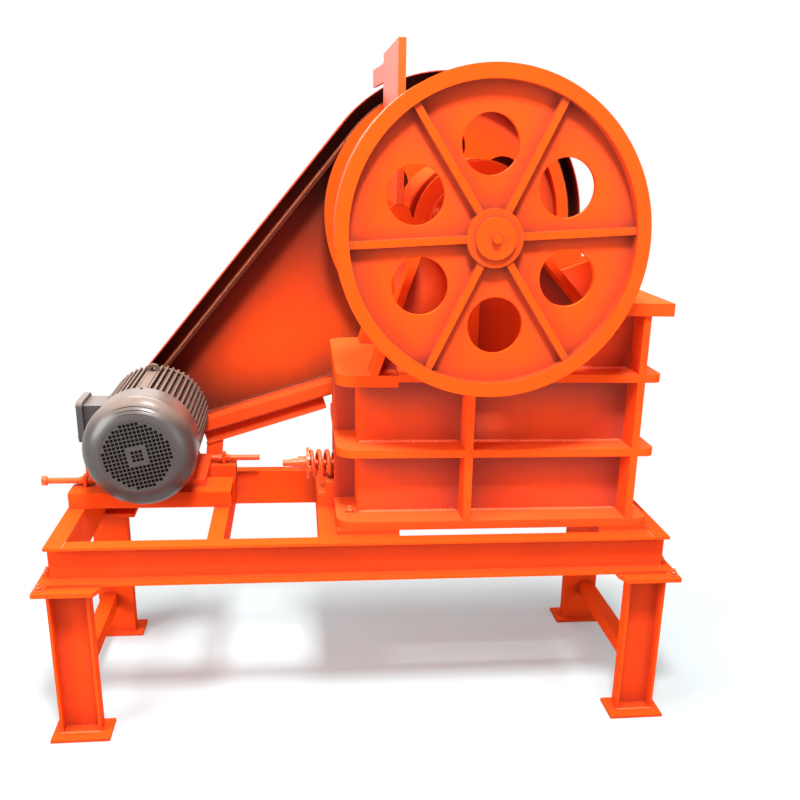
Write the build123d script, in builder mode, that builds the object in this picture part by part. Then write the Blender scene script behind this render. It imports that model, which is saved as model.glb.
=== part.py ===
"""Jaw crusher on a channel steel stand, with its motor, belt drive and belt guard.

Millimetres. X runs along the stand from the motor to the feed end, Y away from the viewer,
Z up. The pieces are drawn about a point on the ground under the middle of the stand, and are
moved, as they are written, to have the middle of the whole machine over the origin.
"""
from build123d import *
from math import asin, atan2, cos, degrees, hypot, radians, sin
import os

os.makedirs("parts", exist_ok=True)

# Stand
frame_length = 1930
frame_width = 818
frame_top = 644
rail_height = 126
rail_flange = 56
rail_web = 7
rail_flange_thickness = 9
leg_depth = 53
leg_height = 126
leg_outset = 10
leg_setback = 14
leg_cap_thickness = 14
leg_cap_outset = 37
leg_cap_forward = 47
leg_cap_length = 196
leg_cap_width = 200
leg_cap_cut_long = 43
leg_cap_cut_short = 18
foot_plate_thickness = 10
foot_plate_length = 180
foot_plate_width = 125
foot_plate_outset = 33
foot_plate_forward = 30
tie_top = 168
tie_flange = 52
tie_thickness = 6
tie_setback = 6
motor_member_left = -494
motor_member_width = 50
motor_member_height = 100
rear_bearer_left = -152
rear_bearer_width = 252
front_bearer_width = 159
bearer_plate = 10
bearer_web = 8
packing_thickness = 13

# Crusher body
wall_gap = 424
wall_thickness = 25
rib_reach = 100
rib_thickness = 25
body_left = -27
body_right = 855
body_foot = 28
low_rib_base = 892
high_rib_base = 1128
deck_base = 1112
deck_thickness = 35
deck_wing_right = 89
mouth_base = 1333
mouth_thickness = 38
mouth_left = 648
mouth_right = 920
mouth_side_overhang = 13
rear_rib_reach = 69
rear_corner = 60
front_rib_reach = 54
front_corner = 30
middle_rib_x = 300
middle_rib_top = 1375
right_rib_width = 23
gusset_offset = 60
gusset_thickness = 25
rear_wall_thickness = 30
front_wall_thickness = 30
front_wall_low_thickness = 70
seat_radius = 195
left_slope_foot_x = 5
left_slope_head_x = 128
left_slope_head_z = 1500
right_slope_head_x = 500
right_slope_head_z = 1527
slope_rib = 22
lug_x = 93
lug_z = 1596
lug_radius = 36
neck_foot_x = 93
neck_foot_z = 1324
neck_head_x = 231
ear_left = 700
ear_x = 784
ear_z = 1464
ear_radius = 26
ear_hole_radius = 11
ear_foot_left = 560
ear_foot_z = 1440
side_hole_x = 775
side_hole_z = 1271
side_hole_radius = 9

# Shaft and wheels
shaft_x = 329
shaft_z = 1560
throw = 10
journal_radius = 50
eccentric_radius = 66
wheel_seat_radius = 40
running_clearance = 0.06
wall_bore_gap = 20
wheel_inner_face = 405
wheel_width = 115
wheel_radius = 435
rim_thickness = 38
spoke_root = 19
spoke_shift = 5
wheel_web = 20
wheel_web_inset = 42
hub_radius = 78
hub_recess = 6
spoke_count = 6
spoke_thickness = 20
spoke_inset = 12
first_spoke_angle = 4
first_hole_angle = 34
wheel_hole_radius = 79
wheel_hole_circle = 240
cap_radius = 56
cap_thickness = 8
stud_radius = 12
stud_length = 24
housing_flange_radius = 150
housing_flange_thickness = 22
housing_radius = 122
housing_length = 104
housing_cover_radius = 88
housing_cover_thickness = 12

# Swing jaw and chamber
jaw_width = 384
jaw_head_radius = 212
jaw_front_top_x = 470
jaw_front_top_z = 1345
jaw_front_low_x = 645
jaw_front_low_z = 700
jaw_back_low_x = 560
jaw_back_low_z = 850
jaw_back_top_x = 165
jaw_back_top_z = 1430
jaw_toe_left_x = 545
jaw_toe_z = 745
toe_height = 45
plate_back = 26
tooth_depth = 15
tooth_pitch = 48
tooth_foot = 0.42
tooth_crest = 0.14
moving_plate_length = 600
moving_plate_start = 42
fixed_plate_base = 692
fixed_plate_height = 630
cheek_thickness = 12
cheek_top_left_x = 505
cheek_low_left_x = 640
cheek_right_x = 782
cheek_base = 700
cheek_top = 1322
toggle_seat_z = 860
toggle_seat_height = 110
toggle_seat_length = 150
toggle_seat_width = 400
toggle_thickness = 34
toggle_width = 330
toggle_gap = 23
toggle_far_x = 555
toggle_fall = 115

# Tension rod
rod_z = 780
rod_radius = 11
rod_left = -265
rod_right = 440
rod_nut_radius = 22
rod_nut_left = -236
rod_nut_right = -186
rod_nut_small_radius = 15
washer_radius = 52
washer_thickness = 9
washer_left = -186
spring_left = -177
spring_radius = 40
spring_wire = 7
spring_turns = 5
bracket_left = -149
bracket_width = 110
bracket_step_z = 690
bracket_top_z = 728

# Motor
motor_x = -703
motor_z = 871
slide_left = -960
slide_right = -438
slide_height = 53
slide_wall = 9
front_slide_near = -50
front_slide_far = 115
front_slide_cut_x = 50
front_slide_cut_y = 70
rear_slide_near = 253
rear_slide_far = 330
cowl_face = -222
cowl_back = -28
cowl_radius = 172
cowl_dome = 90
cowl_dome_slope = 84
grille_radius = 112
grille_recess = 3
body_core_radius = 150
fin_radius = 170
fin_count = 56
fin_thickness = 7
fin_root = 8
pad_width = 27
body_near = -28
body_far = 358
shield_radius = 158
shield_length = 26
nose_radius = 70
nose_length = 10
motor_foot_half_span = 178
motor_foot_thickness = 25
motor_foot_length = 312
foot_web_low_half_span = 136
foot_web_half_span = 112
foot_web_drop = 70
motor_foot_near = 14
box_left = -924
box_lid_thickness = 20
box_near = 22
box_length = 172
box_low = 845
box_high = 982
box_lid_margin = 13
box_right = -820
box_corner = 20
box_seat_gap = 0.25
eye_radius = 20
eye_hole_radius = 9
eye_thickness = 16
eye_y = 255
eye_lift = 4
motor_shaft_radius = 24
motor_shaft_end = 516
motor_pulley_radius = 85

# Motor tension bolts
bolt_radius = 10
bolt_z = 716
front_bolt_y = 32
rear_bolt_y = 291
front_bolt_head_x = -1055
bolt_foot_gap = 0.2
rear_bolt_end_x = -353
bolt_head_width = 15
bolt_head_radius = 17
slide_lug_height = 38
slide_lug_thickness = 11
slide_lug_width = 38
front_lug_x = -916
rear_lug_x = -480
lug_bore_clearance = 1

# Belts
groove_count = 4
groove_pitch = 25.5
groove_top = 18
groove_depth = 11
groove_bottom = 10
belt_gap = 0.3
belt_band = 3
belt_stand = 2

# Belt guard
guard_margin = 45
guard_plate_y = 552
guard_plate_thickness = 4
guard_rim_near = 398
guard_rim_thickness = 3
guard_lip_height = 70
guard_lip_thickness = 5
guard_lip_left = -628
guard_lip_right = 60
support_setback = 30
support_leg = 42
support_thickness = 6
support_left = -560
support_right = -120
support_post_x = -560
support_post_width = 60
feed_guard_x = 82
feed_guard_thickness = 10
feed_guard_edge = 22
feed_guard_edge_depth = 8
feed_guard_half_width = 250
feed_guard_base = 1632
feed_guard_top = 2068
feed_wing_drop = 28
feed_wing_height = 56
feed_wing_far = 554
feed_wing_turn = 2.2

# Positions that follow from the sizes above
half_length = frame_length / 2
half_width = frame_width / 2
rail_base = frame_top - rail_height
rail_mid = frame_top - rail_height / 2
web_back_y = half_width - rail_flange
web_back_x = half_length - rail_flange
wall_inner = wall_gap / 2
wall_outer = wall_inner + wall_thickness
rib_edge = wall_outer + rib_reach
body_base = frame_top + packing_thickness
foot_top = body_base + body_foot
eccentric_z = shaft_z - throw
wheel_outer_face = wheel_inner_face + wheel_width
guard_back = guard_plate_y + guard_plate_thickness
middle_x = (half_length + leg_cap_outset + front_bolt_head_x) / 2
middle_y = (guard_back - wheel_outer_face - stud_length) / 2


def front_plane(y):
    """Plane parallel to the long front of the stand, its normal towards the viewer."""
    return Plane.XZ.offset(-y)


def channel_outline(height, flange, web, thickness):
    """Channel section: the back of the web on the local Y axis, the flanges to +X."""
    with BuildSketch() as outline:
        Rectangle(flange, height, align=(Align.MIN, Align.CENTER))
        with Locations((web, 0)):
            Rectangle(flange, height - 2 * thickness, align=(Align.MIN, Align.CENTER), mode=Mode.SUBTRACT)
    return outline.sketch


def save(shape, name):
    """Moves the piece to the middle of the whole machine, names it and writes its file."""
    placed = Pos(-middle_x, -middle_y, 0) * shape
    placed.label = name
    export_step(placed, "parts/" + name + ".step")


# The stand
rail_section = channel_outline(rail_height, rail_flange, rail_web, rail_flange_thickness)

front_rail_plane = Plane((-half_length, -web_back_y, rail_mid), x_dir=(0, -1, 0), z_dir=(1, 0, 0))
with BuildPart() as front_rail:
    with BuildSketch(front_rail_plane):
        add(rail_section)
    extrude(amount=frame_length)
save(front_rail.part, "front_rail")

rear_rail_plane = Plane((-half_length, web_back_y, rail_mid), x_dir=(0, 1, 0), z_dir=(1, 0, 0))
with BuildPart() as rear_rail:
    with BuildSketch(rear_rail_plane):
        add(rail_section)
    extrude(amount=frame_length)
save(rear_rail.part, "rear_rail")

left_beam_plane = Plane((-web_back_x, -web_back_y, rail_mid), x_dir=(-1, 0, 0), z_dir=(0, 1, 0))
with BuildPart() as left_end_beam:
    with BuildSketch(left_beam_plane):
        add(rail_section)
    extrude(amount=2 * web_back_y)
save(left_end_beam.part, "left_end_beam")

right_beam_plane = Plane((web_back_x, -web_back_y, rail_mid), x_dir=(1, 0, 0), z_dir=(0, 1, 0))
with BuildPart() as right_end_beam:
    with BuildSketch(right_beam_plane):
        add(rail_section)
    extrude(amount=2 * web_back_y)
save(right_end_beam.part, "right_end_beam")

member_section = channel_outline(motor_member_height, motor_member_width, rail_web, rail_flange_thickness)
member_right = motor_member_left + motor_member_width
member_mid = frame_top - motor_member_height / 2
member_plane = Plane((member_right, -web_back_y, member_mid), x_dir=(-1, 0, 0), z_dir=(0, 1, 0))
with BuildPart() as motor_cross_member:
    with BuildSketch(member_plane):
        add(member_section)
    extrude(amount=2 * web_back_y)
save(motor_cross_member.part, "motor_cross_member")


def bearer(left, width, packing_left):
    """Inverted trough across the stand, with a packing plate, that carries one end of the crusher."""
    with BuildPart() as trough:
        with Locations((left, 0, frame_top)):
            Box(width, 2 * web_back_y, rail_height, align=(Align.MIN, Align.CENTER, Align.MAX))
        with Locations((left + bearer_web, 0, frame_top - bearer_plate)):
            Box(
                width - 2 * bearer_web, 2 * web_back_y, rail_height,
                align=(Align.MIN, Align.CENTER, Align.MAX), mode=Mode.SUBTRACT,
            )
        with Locations((packing_left, 0, frame_top)):
            Box(
                left + width - packing_left, 2 * rib_edge, packing_thickness,
                align=(Align.MIN, Align.CENTER, Align.MIN),
            )
    return trough.part


rear_rib_left = body_left - rear_rib_reach
save(bearer(rear_bearer_left, rear_bearer_width, rear_rib_left), "crusher_bearer_rear")
front_bearer_left = web_back_x - front_bearer_width
save(bearer(front_bearer_left, front_bearer_width, front_bearer_left), "crusher_bearer_front")

leg_section = channel_outline(leg_height, leg_depth, rail_web, rail_flange_thickness)
leg_cap_base = rail_base - leg_cap_thickness
leg_mid_x = half_length + leg_outset - leg_height / 2
leg_tip_y = half_width - leg_setback


def leg(side, end):
    """Channel leg with its bolted cap and its foot plate; side is +-1 along X, end +-1 along Y."""
    cap_x = side * (half_length + leg_cap_outset)
    cap_y = end * (half_width + leg_cap_forward)
    inner_x = cap_x - side * leg_cap_length
    inner_y = cap_y - end * leg_cap_width
    cap_corners = [
        (cap_x, cap_y),
        (inner_x + side * leg_cap_cut_short, cap_y),
        (inner_x, cap_y - end * leg_cap_cut_long),
        (inner_x, inner_y),
        (cap_x, inner_y),
    ]
    foot_x = side * (half_length + foot_plate_outset - foot_plate_length / 2)
    foot_y = end * (half_width + foot_plate_forward - foot_plate_width / 2)
    web_back = end * (leg_tip_y - leg_depth)
    post_plane = Plane((side * leg_mid_x, web_back, foot_plate_thickness), x_dir=(0, end, 0), z_dir=(0, 0, 1))
    with BuildPart() as post:
        with BuildSketch(post_plane):
            add(leg_section)
        extrude(amount=leg_cap_base - foot_plate_thickness)
        with BuildSketch(Plane.XY.offset(leg_cap_base)):
            with BuildLine():
                Polyline(*cap_corners, close=True)
            make_face()
        extrude(amount=leg_cap_thickness)
        with Locations((foot_x, foot_y, 0)):
            Box(
                foot_plate_length, foot_plate_width, foot_plate_thickness,
                align=(Align.CENTER, Align.CENTER, Align.MIN),
            )
    return post.part


save(leg(-1, -1), "leg_front_left")
save(leg(1, -1), "leg_front_right")
save(leg(-1, 1), "leg_back_left")
save(leg(1, 1), "leg_back_right")

tie_length = 2 * (leg_tip_y - leg_depth)


def leg_tie(side):
    """Angle steel between the front and the back leg of one end."""
    outer = side * (half_length - tie_setback)
    inner = outer - side * tie_flange
    with BuildPart() as tie:
        with Locations(((outer + inner) / 2, 0, tie_top)):
            Box(tie_flange, tie_length, tie_thickness, align=(Align.CENTER, Align.CENTER, Align.MAX))
        with Locations((inner + side * tie_thickness / 2, 0, tie_top)):
            Box(tie_thickness, tie_length, tie_flange, align=(Align.CENTER, Align.CENTER, Align.MAX))
    return tie.part


save(leg_tie(-1), "leg_tie_left")
save(leg_tie(1), "leg_tie_right")

# The crusher body
wall_corners = [
    (body_left, body_base),
    (body_right, body_base),
    (body_right, mouth_base),
    (mouth_left, mouth_base),
    (mouth_left, mouth_base + mouth_thickness),
    (right_slope_head_x, right_slope_head_z),
    (left_slope_head_x, left_slope_head_z),
    (left_slope_foot_x, deck_base + deck_thickness),
    (body_left, deck_base + deck_thickness),
]


def slope_band(foot, head, width):
    """Corners of a straight strip of the given width on the inner side of a sloping edge."""
    run = head[0] - foot[0]
    rise = head[1] - foot[1]
    size = hypot(run, rise)
    shift = (width * rise / size, -width * run / size)
    return [foot, head, (head[0] + shift[0], head[1] + shift[1]), (foot[0] + shift[0], foot[1] + shift[1])]


deck_top = deck_base + deck_thickness
left_band = slope_band((left_slope_foot_x, deck_top), (left_slope_head_x, left_slope_head_z), slope_rib)
right_band = slope_band(
    (right_slope_head_x, right_slope_head_z), (mouth_left, mouth_base + mouth_thickness), slope_rib
)
with BuildPart() as side_wall_rear:
    with BuildSketch(front_plane(wall_outer)):
        with BuildLine():
            Polyline(*wall_corners, close=True)
        make_face()
        with Locations((shaft_x, shaft_z)):
            Circle(seat_radius)
        with Locations((lug_x, lug_z)):
            Circle(lug_radius)
        with BuildLine():
            Polyline(
                (lug_x - lug_radius, lug_z), (neck_foot_x, neck_foot_z),
                (left_slope_head_x, left_slope_head_z), (neck_head_x, shaft_z),
                (lug_x + lug_radius, lug_z), close=True,
            )
        make_face()
        with BuildLine():
            Polyline(
                (ear_foot_left, ear_foot_z), (mouth_left, mouth_base + mouth_thickness),
                (ear_x + ear_radius, mouth_base + mouth_thickness), (ear_x + ear_radius, ear_z),
                (ear_x, ear_z + ear_radius), (ear_left, ear_z + ear_radius), close=True,
            )
        make_face()
        with Locations((ear_x, ear_z)):
            Circle(ear_radius)
            Circle(ear_hole_radius, mode=Mode.SUBTRACT)
        with Locations((shaft_x, shaft_z)):
            Circle(journal_radius + wall_bore_gap, mode=Mode.SUBTRACT)
        with Locations((side_hole_x, side_hole_z)):
            Circle(side_hole_radius, mode=Mode.SUBTRACT)
    extrude(amount=wall_thickness)
    with BuildSketch(front_plane(rib_edge)):
        with Locations(((body_left + body_right) / 2, body_base + body_foot / 2)):
            Rectangle(body_right - body_left, body_foot)
        with Locations(((body_left + body_right) / 2, low_rib_base + rib_thickness / 2)):
            Rectangle(body_right - body_left, rib_thickness)
        with Locations(((deck_wing_right + body_right) / 2, high_rib_base + rib_thickness / 2)):
            Rectangle(body_right - deck_wing_right, rib_thickness)
        with Locations(((body_left + deck_wing_right) / 2, deck_base + deck_thickness / 2)):
            Rectangle(deck_wing_right - body_left, deck_thickness)
        with Locations((middle_rib_x, body_base)):
            Rectangle(rib_thickness, middle_rib_top - body_base, align=(Align.MIN, Align.MIN))
        with BuildLine():
            Polyline(
                (body_right - right_rib_width, body_base), (body_right, body_base),
                (body_right, mouth_base), (body_right - right_rib_width, mouth_base), close=True,
            )
        make_face()
        with BuildLine():
            Polyline(*left_band, close=True)
        make_face()
        with BuildLine():
            Polyline(*right_band, close=True)
        make_face()
    extrude(amount=rib_reach)
save(side_wall_rear.part, "side_wall_rear")

with BuildPart() as side_wall_front:
    add(side_wall_rear.part)
    mirror(about=Plane.XZ, mode=Mode.REPLACE)
save(side_wall_front.part, "side_wall_front")


def wrap_rib(base, thickness, left, right, corner):
    """Horizontal rib across one end of the body, rounded at its two outer corners."""
    with BuildPart() as rib:
        with BuildSketch(Plane.XY.offset(base)):
            with Locations(((left + right) / 2, 0)):
                Rectangle(right - left, 2 * rib_edge)
        extrude(amount=thickness)
        outer = rib.edges().filter_by(Axis.Z).sort_by(Axis.X)
        if corner > 0:
            fillet(outer[:2], corner)
        else:
            fillet(outer[-2:], -corner)
    return rib.part


with BuildPart() as toggle_wall:
    add(wrap_rib(body_base, body_foot, rear_rib_left, body_left, rear_corner))
    add(wrap_rib(low_rib_base, rib_thickness, rear_rib_left, body_left, rear_corner))
    add(wrap_rib(deck_base, deck_thickness, rear_rib_left, body_left, rear_corner))
    with Locations((body_left, 0, body_base)):
        Box(
            rear_wall_thickness, wall_gap, deck_base + deck_thickness - body_base,
            align=(Align.MIN, Align.CENTER, Align.MIN),
        )
    with Locations((body_left, 0, deck_base)):
        Box(deck_wing_right - body_left, wall_gap, deck_thickness, align=(Align.MIN, Align.CENTER, Align.MIN))
    for sign in (-1, 1):
        with Locations((rear_rib_left, sign * (gusset_offset + gusset_thickness / 2), foot_top)):
            Box(
                rear_rib_reach, gusset_thickness, deck_base - foot_top,
                align=(Align.MIN, Align.CENTER, Align.MIN),
            )
    with Locations(Plane((body_left, 0, rod_z), z_dir=(1, 0, 0))):
        Cylinder(
            rod_radius + lug_bore_clearance, rear_wall_thickness,
            align=(Align.CENTER, Align.CENTER, Align.MIN), mode=Mode.SUBTRACT,
        )
save(toggle_wall.part, "toggle_wall")

front_rib_right = body_right + front_rib_reach
with BuildPart() as fixed_jaw_wall:
    add(wrap_rib(body_base, body_foot, body_right, front_rib_right, -front_corner))
    add(wrap_rib(low_rib_base, rib_thickness, body_right, front_rib_right, -front_corner))
    add(wrap_rib(high_rib_base, rib_thickness, body_right, front_rib_right, -front_corner))
    with BuildSketch(front_plane(wall_inner)):
        with BuildLine():
            Polyline(
                (body_right - front_wall_low_thickness, body_base), (body_right, body_base),
                (body_right, mouth_base), (body_right - front_wall_thickness, mouth_base),
                (body_right - front_wall_low_thickness, fixed_plate_base), close=True,
            )
        make_face()
    extrude(amount=wall_gap)
save(fixed_jaw_wall.part, "fixed_jaw_wall")

mouth_half = rib_edge + mouth_side_overhang
with BuildPart() as feed_mouth_frame:
    with Locations((mouth_left, 0, mouth_base)):
        Box(
            mouth_right - mouth_left, 2 * mouth_half, mouth_thickness,
            align=(Align.MIN, Align.CENTER, Align.MIN),
        )
    with Locations((mouth_left, 0, mouth_base)):
        Box(
            body_right - front_wall_thickness - mouth_left, wall_gap, mouth_thickness,
            align=(Align.MIN, Align.CENTER, Align.MIN), mode=Mode.SUBTRACT,
        )
save(feed_mouth_frame.part, "feed_mouth_frame")

# The crushing chamber
moving_run = jaw_front_low_x - jaw_front_top_x
moving_fall = jaw_front_top_z - jaw_front_low_z
moving_tilt = degrees(atan2(moving_run, moving_fall))


def tooth_outline(width, back, depth, pitch):
    """Section of a ribbed jaw plate: flat back at X 0, blunt ridges towards +X."""
    count = int(width // pitch)
    with BuildSketch() as outline:
        Rectangle(back, width, align=(Align.MIN, Align.CENTER))
        for index in range(count):
            middle = (index - (count - 1) / 2) * pitch
            with BuildLine():
                Polyline(
                    (back, middle - pitch * tooth_foot),
                    (back + depth, middle - pitch * tooth_crest),
                    (back + depth, middle + pitch * tooth_crest),
                    (back, middle + pitch * tooth_foot),
                    close=True,
                )
            make_face()
    return outline.sketch


fixed_foot = Vector(body_right - front_wall_low_thickness, 0, fixed_plate_base)
fixed_run = front_wall_low_thickness - front_wall_thickness
fixed_direction = Vector(fixed_run, 0, mouth_base - fixed_plate_base).normalized()
fixed_plane = Plane(fixed_foot, x_dir=(-fixed_direction.Z, 0, fixed_direction.X), z_dir=fixed_direction)
with BuildPart() as fixed_jaw_plate:
    with BuildSketch(fixed_plane):
        add(tooth_outline(jaw_width, plate_back, tooth_depth, tooth_pitch))
    extrude(amount=fixed_plate_height)
save(fixed_jaw_plate.part, "fixed_jaw_plate")

moving_direction = Vector(moving_run, 0, -moving_fall).normalized()
moving_start = Vector(jaw_front_top_x, 0, jaw_front_top_z) + moving_direction * moving_plate_start
moving_normal = (cos(radians(moving_tilt)), 0, sin(radians(moving_tilt)))
moving_plane = Plane(moving_start, x_dir=moving_normal, z_dir=moving_direction)
with BuildPart() as moving_jaw_plate:
    with BuildSketch(moving_plane):
        add(tooth_outline(jaw_width - tooth_pitch / 2, plate_back, tooth_depth, tooth_pitch))
    extrude(amount=moving_plate_length)
save(moving_jaw_plate.part, "moving_jaw_plate")


def cheek(end):
    """Wear plate that lines one side wall beside the chamber."""
    with BuildPart() as lining:
        with BuildSketch(front_plane(end * (wall_inner - cheek_thickness))):
            with BuildLine():
                Polyline(
                    (cheek_low_left_x, cheek_base), (cheek_right_x, cheek_base), (cheek_right_x, cheek_top),
                    (cheek_top_left_x, cheek_top), close=True,
                )
            make_face()
        extrude(amount=-end * cheek_thickness)
    return lining.part


save(cheek(-1), "cheek_plate_front")
save(cheek(1), "cheek_plate_rear")

jaw_corners = [
    (jaw_front_top_x, jaw_front_top_z),
    (jaw_front_low_x, jaw_front_low_z),
    (jaw_front_low_x - toe_height, jaw_front_low_z),
    (jaw_toe_left_x, jaw_toe_z),
    (jaw_back_low_x, jaw_back_low_z),
    (jaw_back_top_x, jaw_back_top_z),
]
head_front_x = shaft_x + jaw_head_radius * cos(radians(moving_tilt))
head_front_z = eccentric_z - jaw_head_radius * sin(radians(moving_tilt))
with BuildPart() as swing_jaw:
    with BuildSketch(front_plane(jaw_width / 2)):
        with BuildLine():
            Polyline(*jaw_corners, close=True)
        make_face()
        with Locations((shaft_x, eccentric_z)):
            Circle(jaw_head_radius)
        with BuildLine():
            Polyline(
                (jaw_back_top_x, jaw_back_top_z), (shaft_x, eccentric_z),
                (head_front_x, head_front_z),
                (jaw_front_top_x, jaw_front_top_z), close=True,
            )
        make_face()
        with Locations((shaft_x, eccentric_z)):
            Circle(eccentric_radius + running_clearance, mode=Mode.SUBTRACT)
    extrude(amount=jaw_width)
save(swing_jaw.part, "swing_jaw")

seat_left = body_left + rear_wall_thickness
with BuildPart() as toggle_seat:
    with Locations((seat_left, 0, toggle_seat_z)):
        Box(
            toggle_seat_length, toggle_seat_width, toggle_seat_height,
            align=(Align.MIN, Align.CENTER, Align.MIN),
        )
save(toggle_seat.part, "toggle_seat")

toggle_near_x = seat_left + toggle_seat_length
toggle_near_z = toggle_seat_z + toggle_seat_height / 2
toggle_far_z = toggle_near_z - toggle_fall
toggle_end_x = toggle_far_x - toggle_gap
with BuildPart() as toggle_plate:
    with BuildSketch(front_plane(toggle_width / 2)):
        with BuildLine():
            Polyline(
                (toggle_near_x, toggle_near_z - toggle_thickness / 2),
                (toggle_near_x, toggle_near_z + toggle_thickness / 2),
                (toggle_end_x, toggle_far_z + toggle_thickness / 2),
                (toggle_end_x, toggle_far_z - toggle_thickness / 2),
                close=True,
            )
        make_face()
    extrude(amount=toggle_width)
save(toggle_plate.part, "toggle_plate")

# The tension rod and spring
rod_axis = Plane((0, 0, rod_z), z_dir=(1, 0, 0))


def turned(plane, pieces):
    """Stack of turned lengths on one axis; each piece is a start, an end and a radius."""
    with BuildPart() as body:
        for start, finish, radius in pieces:
            with Locations(plane.offset(start)):
                Cylinder(radius, finish - start, align=(Align.CENTER, Align.CENTER, Align.MIN))
    return body.part


rod_pieces = [
    (rod_left, rod_right, rod_radius),
    (rod_nut_left, rod_nut_left + rod_nut_radius, rod_nut_small_radius),
    (rod_nut_left + rod_nut_radius, rod_nut_right, rod_nut_radius),
    (washer_left, washer_left + washer_thickness, washer_radius),
]
save(turned(rod_axis, rod_pieces), "tension_rod")

spring_length = body_left - spring_left
spring_pitch = (spring_length - 2 * spring_wire) / spring_turns
with BuildPart() as tension_spring:
    with BuildLine() as coil_line:
        Helix(
            pitch=spring_pitch, height=spring_length - 2 * spring_wire, radius=spring_radius,
            center=(spring_left + spring_wire, 0, rod_z), direction=(1, 0, 0),
        )
    with BuildSketch(Plane(coil_line.line @ 0, z_dir=coil_line.line % 0)):
        Circle(spring_wire)
    sweep()
save(tension_spring.part, "tension_spring")

with BuildPart() as spring_bracket:
    with Locations((bracket_left, 0, frame_top)):
        Box(
            rear_rib_left - bracket_left, bracket_width, bracket_step_z - frame_top,
            align=(Align.MIN, Align.CENTER, Align.MIN),
        )
    with Locations((bracket_left + rib_thickness, 0, bracket_step_z)):
        Box(
            rear_rib_left - bracket_left - rib_thickness, bracket_width, bracket_top_z - bracket_step_z,
            align=(Align.MIN, Align.CENTER, Align.MIN),
        )
save(spring_bracket.part, "spring_bracket")

# The shaft and wheels
shaft_axis = Plane((shaft_x, 0, shaft_z), z_dir=(0, 1, 0))
eccentric_axis = Plane((shaft_x, 0, eccentric_z), z_dir=(0, 1, 0))
with BuildPart() as eccentric_shaft:
    seat_end = wheel_outer_face - hub_recess
    add(turned(shaft_axis, [(-seat_end, seat_end, wheel_seat_radius)]))
    add(turned(shaft_axis, [(-wheel_inner_face, wheel_inner_face, journal_radius)]))
    add(turned(eccentric_axis, [(-jaw_width / 2, jaw_width / 2, eccentric_radius)]))
save(eccentric_shaft.part, "eccentric_shaft")


def housing(end):
    """Main bearing housing bolted on the outside of one side wall."""
    faces = [
        (0, housing_flange_thickness, housing_flange_radius),
        (0, housing_length, housing_radius),
        (housing_length, housing_length + housing_cover_thickness, housing_cover_radius),
    ]
    pieces = []
    for start, finish, radius in faces:
        low = min(end * (wall_outer + start), end * (wall_outer + finish))
        high = max(end * (wall_outer + start), end * (wall_outer + finish))
        pieces.append((low, high, radius))
    with BuildPart() as body:
        add(turned(shaft_axis, pieces))
        with Locations(shaft_axis):
            Cylinder(journal_radius + running_clearance, 2 * wheel_inner_face, mode=Mode.SUBTRACT)
    return body.part


save(housing(-1), "bearing_housing_front")
save(housing(1), "bearing_housing_rear")


def wheel_blank(end, rim_section):
    """Wheel with a dished web, six ribs and six lightening holes; the open side faces outward."""
    outer = end * wheel_outer_face
    inner = end * wheel_inner_face
    web_far = outer - end * wheel_web_inset
    with BuildPart() as wheel:
        with BuildSketch(Plane.YZ.offset(shaft_x)):
            add(rim_section)
            hub_middle = (outer + inner - end * hub_recess) / 2
            with Locations((hub_middle, shaft_z + (hub_radius + wheel_seat_radius) / 2)):
                Rectangle(wheel_width - hub_recess, hub_radius - wheel_seat_radius)
            web_middle = (hub_radius + wheel_radius - rim_thickness) / 2
            with Locations((web_far - end * wheel_web / 2, shaft_z + web_middle)):
                Rectangle(wheel_web, wheel_radius - rim_thickness - hub_radius + spoke_root)
        revolve(axis=Axis((shaft_x, 0, shaft_z), (0, 1, 0)), revolution_arc=360)
        with Locations(Plane((shaft_x, 0, shaft_z), x_dir=(1, 0, 0), z_dir=(0, -1, 0))):
            with PolarLocations(wheel_hole_circle, spoke_count, start_angle=first_hole_angle):
                Cylinder(wheel_hole_radius, 3 * wheel_outer_face, mode=Mode.SUBTRACT)
        spoke_length = wheel_radius - rim_thickness - hub_radius + spoke_root
        spoke_depth = wheel_web_inset - spoke_inset
        spoke_y = outer - end * (spoke_inset + spoke_depth / 2)
        with Locations(Plane((shaft_x, spoke_y, shaft_z), x_dir=(1, 0, 0), z_dir=(0, -1, 0))):
            spoke_middle = hub_radius + spoke_length / 2 - spoke_shift
            with PolarLocations(spoke_middle, spoke_count, start_angle=first_spoke_angle):
                Box(spoke_length, spoke_thickness, spoke_depth)
    return wheel.part


def rim_rectangle(end):
    """Plain rim section on the side of the shaft that faces up."""
    outer = end * wheel_outer_face
    inner = end * wheel_inner_face
    with BuildSketch() as section:
        with Locations(((outer + inner) / 2, shaft_z + wheel_radius - rim_thickness / 2)):
            Rectangle(wheel_width, rim_thickness)
    return section.sketch


def groove_shape(clearance):
    """One belt groove seen along the rim: wide at the top, narrow at the bottom."""
    with BuildSketch() as groove:
        with BuildLine():
            Polyline(
                (-groove_top / 2 - clearance, clearance), (groove_top / 2 + clearance, clearance),
                (groove_bottom / 2 + clearance, -groove_depth - clearance),
                (-groove_bottom / 2 - clearance, -groove_depth - clearance), close=True,
            )
        make_face()
    return groove.sketch


groove_middle = (wheel_inner_face + wheel_outer_face) / 2
groove_first = groove_middle - (groove_count - 1) * groove_pitch / 2
groove_places = [groove_first + index * groove_pitch for index in range(groove_count)]

with BuildPart() as front_flywheel:
    add(wheel_blank(-1, rim_rectangle(-1)))
    add(turned(shaft_axis, [(-wheel_outer_face - cap_thickness, hub_recess - wheel_outer_face, cap_radius)]))
    add(turned(shaft_axis, [(-wheel_outer_face - stud_length, -wheel_outer_face, stud_radius)]))
save(front_flywheel.part, "front_flywheel")

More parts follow.
